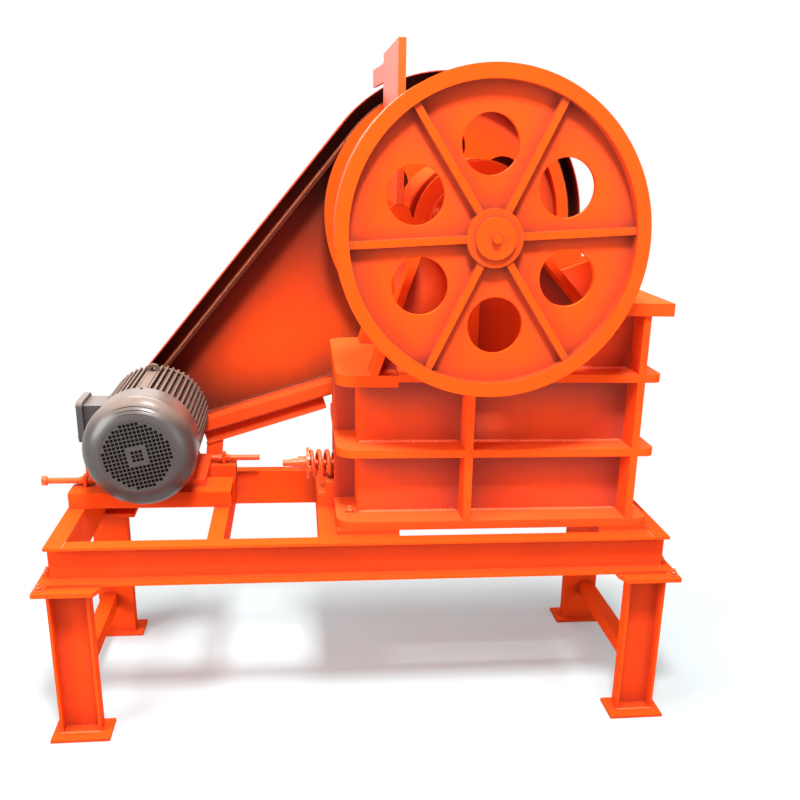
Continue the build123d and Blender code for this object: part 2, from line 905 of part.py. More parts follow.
with BuildSketch() as grooved_rim:
    add(rim_rectangle(1))
    for place in groove_places:
        with Locations((place, shaft_z + wheel_radius)):
            add(groove_shape(belt_gap), mode=Mode.SUBTRACT)
with BuildPart() as drive_pulley:
    add(wheel_blank(1, grooved_rim.sketch))
save(drive_pulley.part, "drive_pulley")

# The motor
motor_axis = Plane((motor_x, 0, motor_z), z_dir=(0, 1, 0))
slide_top = frame_top + slide_height


def slide_rail(near, far, corner_cut, lug_center_x, bolt_y):
    """Channel laid on its flanges, with the upright lug for its tension bolt."""
    with BuildPart() as slide:
        with Locations((slide_left, near, frame_top)):
            Box(slide_right - slide_left, far - near, slide_height, align=(Align.MIN, Align.MIN, Align.MIN))
        with Locations((slide_left, near + slide_wall, frame_top)):
            Box(
                slide_right - slide_left, far - near - 2 * slide_wall, slide_height - slide_wall,
                align=(Align.MIN, Align.MIN, Align.MIN), mode=Mode.SUBTRACT,
            )
        if corner_cut:
            with BuildSketch(Plane.XY.offset(frame_top)):
                with BuildLine():
                    Polyline(
                        (slide_left, far - front_slide_cut_y), (slide_left, far),
                        (slide_left + front_slide_cut_x, far), close=True,
                    )
                make_face()
            extrude(amount=slide_height, mode=Mode.SUBTRACT)
        with Locations((lug_center_x, bolt_y, slide_top)):
            Box(
                slide_lug_thickness, slide_lug_width, slide_lug_height,
                align=(Align.CENTER, Align.CENTER, Align.MIN),
            )
        with Locations(Plane((lug_center_x, bolt_y, bolt_z), z_dir=(1, 0, 0))):
            Cylinder(bolt_radius + lug_bore_clearance, 2 * slide_lug_thickness, mode=Mode.SUBTRACT)
    return slide.part


save(slide_rail(front_slide_near, front_slide_far, True, front_lug_x, front_bolt_y), "motor_slide_front")
save(slide_rail(rear_slide_near, rear_slide_far, False, rear_lug_x, rear_bolt_y), "motor_slide_rear")

with BuildPart() as motor_fan_cowl:
    with BuildSketch(Plane.YZ.offset(motor_x)) as cowl_section:
        with BuildLine():
            Line((cowl_face, motor_z), (cowl_face, motor_z + grille_radius))
            TangentArc(
                (cowl_face, motor_z + grille_radius), (cowl_face + cowl_dome, motor_z + cowl_radius),
                tangent=(cos(radians(cowl_dome_slope)), sin(radians(cowl_dome_slope))),
            )
            Line((cowl_face + cowl_dome, motor_z + cowl_radius), (cowl_back, motor_z + cowl_radius))
            Line((cowl_back, motor_z + cowl_radius), (cowl_back, motor_z))
            Line((cowl_back, motor_z), (cowl_face, motor_z))
        make_face()
    revolve(axis=Axis((motor_x, 0, motor_z), (0, 1, 0)), revolution_arc=360)
    with Locations(motor_axis.offset(cowl_face)):
        Cylinder(
            grille_radius, grille_recess,
            align=(Align.CENTER, Align.CENTER, Align.MIN), mode=Mode.SUBTRACT,
        )
save(motor_fan_cowl.part, "motor_fan_cowl")

foot_height = motor_z - slide_top
with BuildPart() as motor_housing:
    shield_end = body_far + shield_length
    add(turned(motor_axis, [(body_near, body_far, body_core_radius), (body_far, shield_end, shield_radius)]))
    add(turned(motor_axis, [(shield_end, shield_end + nose_length, nose_radius)]))
    with BuildSketch(Plane((motor_x, body_near, motor_z), x_dir=(1, 0, 0), z_dir=(0, -1, 0))):
        with PolarLocations((fin_radius + body_core_radius - fin_root) / 2, fin_count):
            Rectangle(fin_radius - body_core_radius + fin_root, fin_thickness)
    extrude(amount=body_near - body_far)
    with Locations((motor_x, body_near, motor_z + body_core_radius - fin_root)):
        Box(
            pad_width, eye_y - body_near, fin_radius - body_core_radius + fin_root,
            align=(Align.CENTER, Align.MIN, Align.MIN),
        )
    foot_top_z = slide_top + motor_foot_thickness
    with BuildSketch(front_plane(motor_foot_near + motor_foot_length)):
        with BuildLine():
            Polyline(
                (motor_x - motor_foot_half_span, slide_top), (motor_x + motor_foot_half_span, slide_top),
                (motor_x + motor_foot_half_span, foot_top_z), (motor_x + foot_web_low_half_span, foot_top_z),
                (motor_x + foot_web_half_span, motor_z - foot_web_drop),
                (motor_x - foot_web_half_span, motor_z - foot_web_drop),
                (motor_x - foot_web_low_half_span, foot_top_z),
                (motor_x - motor_foot_half_span, foot_top_z), close=True,
            )
        make_face()
        with Locations((motor_x, motor_z)):
            Circle(body_core_radius - fin_thickness, mode=Mode.SUBTRACT)
    extrude(amount=motor_foot_length)
    eye_z = motor_z + fin_radius + eye_lift
    with BuildSketch(front_plane(eye_y + eye_thickness / 2)):
        with Locations((motor_x, eye_z)):
            Circle(eye_radius)
        with Locations((motor_x, eye_z)):
            Rectangle(2 * eye_radius, eye_radius + eye_lift + fin_root, align=(Align.CENTER, Align.MAX))
    extrude(amount=eye_thickness)
    with BuildSketch(front_plane(eye_y + eye_thickness)):
        with Locations((motor_x, eye_z)):
            Circle(eye_hole_radius)
    extrude(amount=2 * eye_thickness, mode=Mode.SUBTRACT)
save(motor_housing.part, "motor_housing")

with BuildPart() as motor_terminal_box:
    with Locations((box_left + box_lid_thickness, box_near + box_lid_margin, box_low + box_lid_margin)):
        Box(
            box_right - box_left - box_lid_thickness, box_length - 2 * box_lid_margin,
            box_high - box_low - 2 * box_lid_margin, align=(Align.MIN, Align.MIN, Align.MIN),
        )
    with BuildSketch(Plane.YZ.offset(box_left)):
        with Locations((box_near + box_length / 2, (box_high + box_low) / 2)):
            RectangleRounded(box_length, box_high - box_low, box_corner)
    extrude(amount=box_lid_thickness)
    with Locations(motor_axis.offset(body_near)):
        Cylinder(
            fin_radius + box_seat_gap, body_far,
            align=(Align.CENTER, Align.CENTER, Align.MIN), mode=Mode.SUBTRACT,
        )
save(motor_terminal_box.part, "motor_terminal_box")

nose_end = body_far + shield_length + nose_length
save(turned(motor_axis, [(nose_end, motor_shaft_end, motor_shaft_radius)]), "motor_shaft")

with BuildPart() as motor_pulley:
    with BuildSketch(Plane.YZ.offset(motor_x)):
        with Locations((groove_middle, motor_z + (motor_pulley_radius + motor_shaft_radius) / 2)):
            Rectangle(wheel_width, motor_pulley_radius - motor_shaft_radius)
        for place in groove_places:
            with Locations((place, motor_z + motor_pulley_radius)):
                add(groove_shape(belt_gap), mode=Mode.SUBTRACT)
    revolve(axis=Axis((motor_x, 0, motor_z), (0, 1, 0)), revolution_arc=360)
save(motor_pulley.part, "motor_pulley")


def tension_bolt(head_x, tip_x, bolt_y, headed):
    """Long bolt along X that pushes the motor foot."""
    axis_plane = Plane((0, bolt_y, bolt_z), z_dir=(1, 0, 0))
    low = min(head_x, tip_x)
    high = max(head_x, tip_x)
    with BuildPart() as bolt:
        with Locations(axis_plane.offset(low)):
            Cylinder(bolt_radius, high - low, align=(Align.CENTER, Align.CENTER, Align.MIN))
        if headed:
            with BuildSketch(axis_plane.offset(low)):
                RegularPolygon(bolt_head_radius, 6)
            extrude(amount=bolt_head_width)
    return bolt.part


front_bolt_tip_x = motor_x - motor_foot_half_span - bolt_foot_gap
rear_bolt_tip_x = motor_x + motor_foot_half_span + bolt_foot_gap
save(tension_bolt(front_bolt_head_x, front_bolt_tip_x, front_bolt_y, True), "tension_bolt_left")
save(tension_bolt(rear_bolt_end_x, rear_bolt_tip_x, rear_bolt_y, False), "tension_bolt_right")

# The belts and guard
centre_run = shaft_x - motor_x
centre_rise = shaft_z - motor_z
centre_distance = hypot(centre_run, centre_rise)
centre_angle = atan2(centre_rise, centre_run)


def loop_points(small, large):
    """Tangent points of a loop around the motor and the drive pulley, in X and Z."""
    spread = asin((large - small) / centre_distance)
    upper = centre_angle + spread
    lower = centre_angle - spread
    above = (-sin(upper), cos(upper))
    below = (sin(lower), -cos(lower))
    return {
        "motor_up": (motor_x + small * above[0], motor_z + small * above[1]),
        "drive_up": (shaft_x + large * above[0], shaft_z + large * above[1]),
        "motor_low": (motor_x + small * below[0], motor_z + small * below[1]),
        "drive_low": (shaft_x + large * below[0], shaft_z + large * below[1]),
        "motor_far": (motor_x - small * cos(centre_angle), motor_z - small * sin(centre_angle)),
        "drive_far": (shaft_x + large * cos(centre_angle), shaft_z + large * sin(centre_angle)),
    }


def loop_face(small, large):
    """Filled outline of the loop, as a sketch in X and Z."""
    points = loop_points(small, large)
    with BuildSketch() as outline:
        with BuildLine():
            Line(points["motor_up"], points["drive_up"])
            ThreePointArc(points["drive_up"], points["drive_far"], points["drive_low"])
            Line(points["drive_low"], points["motor_low"])
            ThreePointArc(points["motor_low"], points["motor_far"], points["motor_up"])
        make_face()
    return outline.sketch


belt_path_points = loop_points(motor_pulley_radius, wheel_radius)
with BuildPart() as drive_belts:
    with BuildLine(front_plane(groove_middle)) as belt_line:
        Line(belt_path_points["motor_up"], belt_path_points["drive_up"])
        ThreePointArc(
            belt_path_points["drive_up"], belt_path_points["drive_far"], belt_path_points["drive_low"],
        )
        Line(belt_path_points["drive_low"], belt_path_points["motor_low"])
        ThreePointArc(
            belt_path_points["motor_low"], belt_path_points["motor_far"], belt_path_points["motor_up"],
        )
    start = belt_path_points["motor_up"]
    upper_angle = centre_angle + asin((wheel_radius - motor_pulley_radius) / centre_distance)
    section_plane = Plane(
        (start[0], groove_middle, start[1]), x_dir=(0, 1, 0), z_dir=(cos(upper_angle), 0, sin(upper_angle))
    )
    with BuildSketch(section_plane) as belt_section:
        for place in groove_places:
            with Locations((place - groove_middle, 0)):
                add(groove_shape(0))
        with Locations((0, belt_stand + belt_band / 2)):
            Rectangle((groove_count - 1) * groove_pitch + groove_top, belt_band)
        for place in groove_places:
            with Locations((place - groove_middle, belt_stand / 2)):
                Rectangle(groove_top - belt_stand, belt_stand)
    sweep(path=belt_line.line)
save(drive_belts.part, "drive_belts")

guard_small = motor_pulley_radius + guard_margin
guard_large = wheel_radius + guard_margin
with BuildPart() as belt_guard_plate:
    with BuildSketch(front_plane(guard_back)):
        add(loop_face(guard_small, guard_large))
    extrude(amount=guard_plate_thickness)
save(belt_guard_plate.part, "belt_guard_plate")

guard_points = loop_points(guard_small, guard_large)
low_angle = centre_angle - asin((guard_large - guard_small) / centre_distance)


def on_low_edge(x, lift):
    """Point above the lower straight edge of the guard, square to it."""
    foot = guard_points["motor_low"]
    z = foot[1] + (x - foot[0]) * sin(low_angle) / cos(low_angle)
    return (x - lift * sin(low_angle), z + lift * cos(low_angle))


with BuildPart() as belt_guard_rim:
    with BuildSketch(front_plane(guard_plate_y)):
        add(loop_face(guard_small, guard_large))
        add(
            loop_face(guard_small - guard_rim_thickness, guard_large - guard_rim_thickness),
            mode=Mode.SUBTRACT,
        )
    extrude(amount=guard_plate_y - guard_rim_near)
    with BuildSketch(front_plane(guard_rim_near)):
        with BuildLine():
            Polyline(
                on_low_edge(guard_lip_left, 0), on_low_edge(guard_lip_right, 0),
                on_low_edge(guard_lip_right, guard_lip_height),
                on_low_edge(guard_lip_left, guard_lip_height), close=True,
            )
        make_face()
    extrude(amount=guard_lip_thickness)
save(belt_guard_rim.part, "belt_guard_rim")

with BuildPart() as belt_guard_support:
    with BuildSketch(front_plane(guard_rim_near + support_setback)):
        with BuildLine():
            Polyline(
                on_low_edge(support_left, 0), on_low_edge(support_right, 0),
                on_low_edge(support_right, -support_leg), on_low_edge(support_left, -support_leg), close=True,
            )
        make_face()
    extrude(amount=support_thickness)
    with BuildSketch(front_plane(guard_rim_near + support_setback)):
        with BuildLine():
            Polyline(
                on_low_edge(support_left, -support_leg), on_low_edge(support_right, -support_leg),
                on_low_edge(support_right, -support_leg + support_thickness),
                on_low_edge(support_left, -support_leg + support_thickness), close=True,
            )
        make_face()
    extrude(amount=support_leg)
    with BuildSketch(front_plane(guard_rim_near)):
        with BuildLine():
            Polyline(
                (support_post_x, frame_top), (support_post_x + support_post_width, frame_top),
                on_low_edge(support_post_x + support_post_width, -support_leg),
                on_low_edge(support_post_x, -support_leg), close=True,
            )
        make_face()
    extrude(amount=support_thickness)
save(belt_guard_support.part, "belt_guard_support")

with BuildPart() as feed_guard_plate:
    with Locations((feed_guard_x, 0, feed_guard_base)):
        Box(
            feed_guard_thickness, 2 * feed_guard_half_width, feed_guard_top - feed_guard_base,
            align=(Align.MIN, Align.CENTER, Align.MIN),
        )
    for sign in (-1, 1):
        edge_y = sign * (feed_guard_half_width - feed_guard_edge_depth / 2)
        with Locations((feed_guard_x, edge_y, feed_guard_base)):
            Box(
                feed_guard_edge, feed_guard_edge_depth, feed_guard_top - feed_guard_base,
                align=(Align.MIN, Align.CENTER, Align.MIN),
            )
    wing_near = feed_guard_half_width - feed_guard_edge_depth
    wing_base = feed_guard_top - feed_wing_drop - feed_wing_height
    with Locations(Location((feed_guard_x, wing_near, wing_base), (0, 0, feed_wing_turn))):
        Box(
            feed_guard_thickness, feed_wing_far - wing_near, feed_wing_height,
            align=(Align.MIN, Align.MIN, Align.MIN),
        )
save(feed_guard_plate.part, "feed_guard_plate")
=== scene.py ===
"""Looks of a jaw crusher on its stand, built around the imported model.

Lengths in the classes are in millimetres from the middle of the stand at floor level, X along
the stand towards the feed end, Y away from the viewer, Z up. A Datum turns them into metres.
"""
from __future__ import annotations

import logging
import math
import random
from dataclasses import dataclass
from enum import Enum
from typing import Any, Callable, Iterable, Sequence

import bpy
from mathutils import Matrix, Vector


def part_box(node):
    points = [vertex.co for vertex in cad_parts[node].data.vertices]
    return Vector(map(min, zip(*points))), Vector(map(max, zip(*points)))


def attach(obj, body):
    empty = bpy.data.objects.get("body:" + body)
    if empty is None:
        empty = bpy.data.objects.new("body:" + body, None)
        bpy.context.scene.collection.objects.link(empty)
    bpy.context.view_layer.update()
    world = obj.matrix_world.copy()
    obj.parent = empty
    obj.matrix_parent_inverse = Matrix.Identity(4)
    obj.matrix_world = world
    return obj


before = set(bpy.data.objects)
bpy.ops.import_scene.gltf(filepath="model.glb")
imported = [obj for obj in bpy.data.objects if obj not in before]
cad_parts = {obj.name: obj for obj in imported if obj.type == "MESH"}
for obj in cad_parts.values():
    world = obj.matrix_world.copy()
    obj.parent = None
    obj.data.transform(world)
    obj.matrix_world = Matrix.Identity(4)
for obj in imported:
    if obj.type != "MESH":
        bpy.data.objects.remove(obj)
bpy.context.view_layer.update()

MM = 0.001
Point = tuple[float, float, float]
Colour = tuple[float, float, float]
Pairs = tuple[tuple[float, float], ...]

UPWARD: Point = (0.0, 0.0, 1.0)
DOWNWARD: Point = (0.0, 0.0, -1.0)
FORWARD: Point = (0.0, -1.0, 0.0)

# Shading: samples of the masks, radii in metres, noises as scale, detail and roughness
BEVEL_SAMPLES = 4
HOLLOW_SAMPLES = 6
EDGE_MARK_RADIUS = 0.0028
EDGE_RADIUS = 0.0022
METAL_WEAR_RADIUS = 0.003
METAL_EDGE_RADIUS = 0.0015
METAL_REACH = 0.05
ROOF_REACH = 1.9
DARKER = 0.72
CLOUD_NOISE = (3.1, 4.0, 0.6)
SKIN_NOISE = (150.0, 2.0, 0.5)
SPECK_NOISE = (48.0, 5.0, 0.7)
STREAK_NOISE = (1.0, 4.0, 0.6)
STREAK_STRETCH = (30.0, 30.0, 2.5)

# Meshes: angles in degrees, tips and unevenness of a bead as shares
SMOOTH_ANGLE = 38.0
SHARP_ANGLE = 20.0
HEXAGON = 6
HEXAGON_TURN = 60.0
THREAD_SIDES = 16
TUBE_SIDES = 8
BEAD_RIPPLES = (0.80, 1.0, 0.92)
BEAD_TIP = 0.35
BEAD_UNEVEN = 0.1
BEAD_SWAY = 0.05
RANDOM_SEED = 11

logging.basicConfig(level=logging.INFO, format="%(name)s: %(message)s")
log = logging.getLogger("crusher")


class Body(Enum):
    """Body that carries the added pieces."""

    MACHINE = "machine"


class Slot(Enum):
    """Slots of the record, passed for the added pieces."""

    PAINT = "machine_paint"
    MOTOR = "motor_paint"
    STEEL = "wear_steel"


# Shader graphs


class Wire:
    """A socket of a shader graph, on which arithmetic adds Math nodes."""

    def __init__(self, graph: Graph, socket: bpy.types.NodeSocket) -> None:
        """Keeps the graph and the socket."""
        self.graph = graph
        self.socket = socket

    def _math(self, operation: str, *values: Any, clamp: bool = False) -> Wire:
        """Adds one Math node.

        Args:
            operation: the Math node's operation.
            values: its inputs, in order.
            clamp: whether the result is kept between 0 and 1.

        Returns:
            The node's result.
        """
        settings = {"operation": operation, "use_clamp": clamp}
        return self.graph.node("ShaderNodeMath", settings, dict(enumerate(values)))

    def __add__(self, other: Any) -> Wire:
        """Sum."""
        return self._math("ADD", self, other)

    __radd__ = __add__

    def __sub__(self, other: Any) -> Wire:
        """Difference."""
        return self._math("SUBTRACT", self, other)

    def __rsub__(self, other: Any) -> Wire:
        """Difference from a number."""
        return self._math("SUBTRACT", other, self)

    def __mul__(self, other: Any) -> Wire:
        """Product."""
        return self._math("MULTIPLY", self, other)

    __rmul__ = __mul__

    def clamped(self) -> Wire:
        """The value kept between 0 and 1."""
        return self._math("ADD", self, 0.0, clamp=True)

    def above(self, low: float, high: float) -> Wire:
        """A smooth step.

        Args:
            low: value at which the step starts.
            high: value at which it reaches 1.

        Returns:
            0 under low, 1 over high, smooth between.
        """
        settings = {"interpolation_type": "SMOOTHSTEP"}
        inputs = {"Value": self, "From Min": low, "From Max": high}
        return self.graph.node("ShaderNodeMapRange", settings, inputs)


class Graph:
    """The node graph of one material or world."""

    def __init__(self, owner: bpy.types.Material | bpy.types.World) -> None:
        """Empties the graph of that material or world."""
        owner.use_nodes = True
        self.owner = owner
        self.tree = owner.node_tree
        self.tree.nodes.clear()

    def node(self, kind: str, settings: dict[str, Any] | None = None,
             inputs: dict[Any, Any] | None = None, out: Any = 0) -> Wire:
        """Adds any node.

        Args:
            kind: the node's type.
            settings: its properties, set first.
            inputs: values or wires of its sockets, by name or number.
            out: the wanted output, by name or number.

        Returns:
            The wanted output.
        """
        made = self.tree.nodes.new(kind)
        for key, value in (settings or {}).items():
            setattr(made, key, value)
        for key, value in (inputs or {}).items():
            if isinstance(value, Wire):
                self.tree.links.new(value.socket, made.inputs[key])
            elif value is not None:
                made.inputs[key].default_value = value
        return Wire(self, made.outputs[out])

    def coords(self) -> Wire:
        """Place on the piece, in metres."""
        return self.node("ShaderNodeTexCoord", out="Object")

    def geometry(self, out: str) -> Wire:
        """That output of the geometry, in the world's axes."""
        return self.node("ShaderNodeNewGeometry", out=out)

    def ray(self, kind: str) -> Wire:
        """1 for rays of that kind, 0 for others."""
        return self.node("ShaderNodeLightPath", out=f"Is {kind} Ray")

    def part(self, vector: Wire, axis: str) -> Wire:
        """One coordinate of a vector, by its letter."""
        return self.node("ShaderNodeSeparateXYZ", inputs={0: vector}, out=axis)

    def stretched(self, scale: Sequence[float]) -> Wire:
        """Place on the piece, scaled by axis."""
        inputs = {"Vector": self.coords(), "Scale": tuple(scale)}
        return self.node("ShaderNodeMapping", inputs=inputs)

    def noise(self, scale: float, detail: float = 3.0, rough: float = 0.55,
              vector: Wire | None = None) -> Wire:
        """Noise from 0 to 1.

        Args:
            scale: repeats a metre.
            detail: number of octaves.
            rough: strength of the finer octaves.
            vector: place, if not the plain one.

        Returns:
            The noise value.
        """
        inputs = {"Vector": vector or self.coords(), "Scale": scale, "Detail": detail,
                  "Roughness": rough}
        return self.node("ShaderNodeTexNoise", inputs=inputs)

    def mix(self, factor: Any, first: Any, second: Any) -> Wire:
        """Mixes two colours.

        Args:
            factor: share of the second.
            first: colour or wire.
            second: colour or wire.

        Returns:
            The mixed colour.
        """
        def rgba(value: Any) -> Any:
            """A colour with its alpha, or the wire as it is."""
            return value if isinstance(value, Wire) else (*value, 1.0)

        settings = {"data_type": "RGBA", "clamp_factor": True}
        inputs = {0: factor, 6: rgba(first), 7: rgba(second)}
        return self.node("ShaderNodeMix", settings, inputs, out=2)

    def vector_math(self, operation: str, *values: Any, out: Any = 0) -> Wire:
        """Adds one Vector Math node.

        Args:
            operation: the node's operation.
            values: its inputs, in order.
            out: the wanted output, by name or number.

        Returns:
            The wanted output.
        """
        settings = {"operation": operation}
        return self.node("ShaderNodeVectorMath", settings, dict(enumerate(values)), out)

    def rounded(self, radius: float) -> Wire:
        """Normal that rounds edges by that radius, in metres."""
        return self.node("ShaderNodeBevel", {"samples": BEVEL_SAMPLES}, {"Radius": radius})

    def edge_mask(self, radius: float) -> Wire:
        """Mask of the outer edges and corners, from 0 on a face to 1 at an edge."""
        soft = self.rounded(radius)
        dot = self.vector_math("DOT_PRODUCT", soft, self.geometry("True Normal"), out="Value")
        return (1.0 - dot).above(0.01, 0.22)

    def hollow(self, reach: float) -> Wire:
        """Mask of the inner corners and recesses, within reach in metres, for painted shade."""
        open_share = self.node("ShaderNodeAmbientOcclusion", {"samples": HOLLOW_SAMPLES},
                               {"Distance": reach}, out="AO")
        return (1.0 - open_share).clamped()

    def overhung(self, reach: float, alone: bool) -> Wire:
        """Mask of the places of front and back faces that a rib or a rim shades from above.

        Args:
            reach: how far off the rib may be, in metres.
            alone: True to count only ribs of the same piece.

        Returns:
            The mask.
        """
        normal = self.geometry("Normal")
        lifted = self.vector_math("ADD", normal, UPWARD)
        settings = {"samples": HOLLOW_SAMPLES, "only_local": alone}
        inputs = {"Distance": reach, "Normal": self.vector_math("NORMALIZE", lifted)}
        open_share = self.node("ShaderNodeAmbientOcclusion", settings, inputs, out="AO")
        lean = self.part(normal, "Y")
        return (1.0 - open_share).above(0.2, 0.72) * (lean * lean).above(0.3, 0.8)

    def upward(self) -> Wire:
        """Mask of the faces that look up."""
        return self.part(self.geometry("Normal"), "Z").above(0.3, 0.9)

    def bump(self, height: Wire, strength: float, distance: float, normal: Wire) -> Wire:
        """Bumped normal.

        Args:
            height: the height from 0 to 1.
            strength: share of the effect.
            distance: height of 1, in metres.
            normal: the normal under it.

        Returns:
            The normal.
        """
        inputs = {"Strength": strength, "Distance": distance, "Height": height,
                  "Normal": normal}
        return self.node("ShaderNodeBump", inputs=inputs)

    def end(self, shader: Wire, kind: str = "ShaderNodeOutputMaterial") -> None:
        """Ends the graph in that shader."""
        output = self.tree.nodes.new(kind)
        self.tree.links.new(shader.socket, output.inputs["Surface"])

    def surface(self, inputs: dict[str, Any]) -> bpy.types.Material:
        """Ends a material's graph in one Principled surface and gives the material."""
        self.end(self.node("ShaderNodeBsdfPrincipled", inputs=inputs))
        return self.owner


# Finishes


@dataclass(frozen=True)
class Paint:
    """Sprayed paint, with painted shade in its inner corners and under ribs, a painted top light
    on faces that look up, and edges in an edge colour of chipped paint and painted light.

    Attributes:
        name: name of the material.
        base: its colour.
        top: colour of the faces that look up, a painted top light with some dust.
        deep: colour of the painted shade in the inner corners and under ribs and rims.
        edge_colour: colour of the edges, chipped paint lightened as a painted edge highlight; on
            the guard rim a near-black painted edge shade.
        rough: its roughness.
        edge_share: share of the edges that take the edge colour, from 0 to 1.
        shade: strength of the painted shade in the inner corners.
        reach: reach of the painted shade in the inner corners, in metres.
        roof: strength of the shading under ribs and rims.
        alone: True where only the piece's own ribs shade it.
        flake: how patchy the edge colour is, from 0 to 1.
        grain: height of the skin's waviness, in metres.
        gloss: strength of its reflections.
        lower: colour under the height of split, if it has two colours.
        split: that height, in metres.
    """

    name: str
    base: Colour
    top: Colour
    deep: Colour
    edge_colour: Colour
    rough: float = 0.33
    edge_share: float = 0.5
    shade: float = 0.9
    reach: float = 0.16
    roof: float = 0.0
    alone: bool = False
    flake: float = 1.0
    grain: float = 0.00025
    gloss: float = 0.0
    lower: Colour | None = None
    split: float = 0.0

    def material(self) -> bpy.types.Material:
        """Builds the material."""
        g = Graph(bpy.data.materials.new(self.name))
        cloud = g.noise(*CLOUD_NOISE)
        skin = g.noise(*SKIN_NOISE)
        specks = g.noise(*SPECK_NOISE)
        streaks = g.noise(*STREAK_NOISE, g.stretched(STREAK_STRETCH))
        darker = tuple(DARKER * part for part in self.base)
        colour = g.mix(cloud.above(0.4, 0.75) * 0.35, self.base, darker)
        colour = g.mix(streaks.above(0.5, 0.8) * 0.22, colour, darker)
        # painted top light: faces that look up turn towards the top colour, which also stands for
        # some dust
        colour = g.mix(g.upward() * (0.45 + 0.4 * specks), colour, self.top)
        if self.lower is not None:
            height = g.part(g.coords(), "Z")
            above = height.above(self.split - MM, self.split + MM)
            colour = g.mix(above, self.lower, colour)
        # painted shade: inner corners and recesses darken towards the deep colour, and so do
        # places under ribs and rims
        corner_shade = g.hollow(self.reach)
        colour = g.mix((corner_shade * (0.8 + 0.6 * cloud) * self.shade).clamped(), colour, self.deep)
        if self.roof > 0:
            under = g.overhung(ROOF_REACH * self.reach, self.alone) * self.roof
            colour = g.mix(under, colour, self.deep)
        # edge colour: chipped paint with a painted edge highlight on most finishes, a near-black
        # painted edge shade on the guard rim
        patchy = specks.above(0.5, 0.62) * self.flake + (1.0 - self.flake)
        edge_mark = g.edge_mask(EDGE_MARK_RADIUS) * patchy * self.edge_share
        colour = g.mix(edge_mark, colour, self.edge_colour)
        rough = (self.rough + 0.10 * (cloud - 0.5) + 0.3 * edge_mark + 0.12 * corner_shade).clamped()
        normal = g.bump(skin * 0.5 + cloud * 2.0, 0.6, self.grain, g.rounded(EDGE_RADIUS))
        return g.surface({"Base Color": colour, "Roughness": rough, "Normal": normal,
                          "Metallic": edge_mark * 0.6, "Specular IOR Level": self.gloss,
                          "Coat Weight": 0.05, "Coat Roughness": 0.25})


@dataclass(frozen=True)
class Metal:
    """Bare or cast steel with stains, and painted shade in its hollows.

    Attributes:
        name: name of the material.
        base: its colour.
        stain: colour of its stains.
        rough: its roughness.
        metallic: share of metal.
        grain: height of its grain, in metres.
        scale: grains a metre.
    """

    name: str
    base: Colour
    stain: Colour
    rough: float = 0.42
    metallic: float = 0.85
    grain: float = 0.0004
    scale: float = 90.0

    def material(self) -> bpy.types.Material:
        """Builds the material."""
        g = Graph(bpy.data.materials.new(self.name))
        cloud = g.noise(7.0, 5.0, 0.65)
        grit = g.noise(self.scale, 4.0, 0.6)
        bright = tuple(min(1.0, 1.6 * part) for part in self.base)
        colour = g.mix(cloud.above(0.42, 0.7) * 0.8, self.base, self.stain)
        # painted shade: hollows darken towards a dark copy of the stain colour
        dark = tuple(0.25 * part for part in self.stain)
        colour = g.mix(g.edge_mask(METAL_WEAR_RADIUS) * 0.7, colour, bright)
        colour = g.mix(g.hollow(METAL_REACH) * 0.7, colour, dark)
        rough = (self.rough + 0.25 * (grit - 0.5) + 0.2 * cloud).clamped()
        metallic = (self.metallic - 0.5 * cloud.above(0.45, 0.75)).clamped()
        normal = g.bump(grit, 0.7, self.grain, g.rounded(METAL_EDGE_RADIUS))
        return g.surface({"Base Color": colour, "Roughness": rough, "Metallic": metallic,
                          "Normal": normal})


@dataclass(frozen=True)
class Rubber:
    """Matt dark plastic with dust on it; here only the near-black disc of painted shadow behind
    the fan grille.

    Attributes:
        name: name of the material.
        base: its colour.
        dust: colour of the dust on it.
        rough: its roughness.
        gloss: strength of its reflections.
    """

    name: str
    base: Colour
    dust: Colour
    rough: float = 0.7
    gloss: float = 0.5

    def material(self) -> bpy.types.Material:
        """Builds the material."""
        g = Graph(bpy.data.materials.new(self.name))
        weave = g.noise(260.0, 3.0, 0.6)
        cloud = g.noise(9.0, 4.0, 0.6)
        colour = g.mix(cloud.above(0.35, 0.75) * 0.6, self.base, self.dust)
        rough = (self.rough + 0.2 * (weave - 0.5)).clamped()
        normal = g.bump(weave, 0.5, 0.0003, g.rounded(0.001))
        return g.surface({"Base Color": colour, "Roughness": rough, "Normal": normal,
                          "Specular IOR Level": self.gloss})


# In the paints below the second colour is a painted top light with some dust, the third the
# painted shade in corners and under ribs and rims, the fourth the edge colour of chipped paint
# and painted light
ORANGE = Paint("orange_paint", (0.97, 0.074, 0.007), (1.0, 0.17, 0.035), (0.25, 0.052, 0.036),
               (0.95, 0.17, 0.055), edge_share=0.3, reach=0.13, shade=0.4, roof=0.9, alone=True)
WHEEL_ORANGE = Paint("wheel_orange_paint", (0.92, 0.066, 0.004), (1.0, 0.13, 0.012),
                     (0.24, 0.040, 0.022), (1.0, 0.26, 0.12), rough=0.42, edge_share=0.25, reach=0.09,
                     shade=1.2, roof=0.35, gloss=0.04)
SHEET_ORANGE = Paint("sheet_orange_paint", (0.95, 0.085, 0.006), (1.0, 0.16, 0.02),
                     (0.20, 0.010, 0.005), (0.98, 0.45, 0.30), edge_share=0.5, reach=0.10, gloss=0.35)
STAND_ORANGE = Paint("stand_orange_paint", (0.94, 0.068, 0.006), (1.0, 0.115, 0.012),
                     (0.26, 0.035, 0.020), (0.95, 0.26, 0.12), edge_share=0.4, reach=0.08, shade=0.8,
                     roof=0.35)
GUARD_ORANGE = Paint("guard_orange_paint", (0.94, 0.072, 0.007), (0.94, 0.072, 0.007),
                     (0.12, 0.024, 0.015), (0.6, 0.10, 0.05), edge_share=0.3, reach=0.19, shade=0.85,
                     roof=0.85)
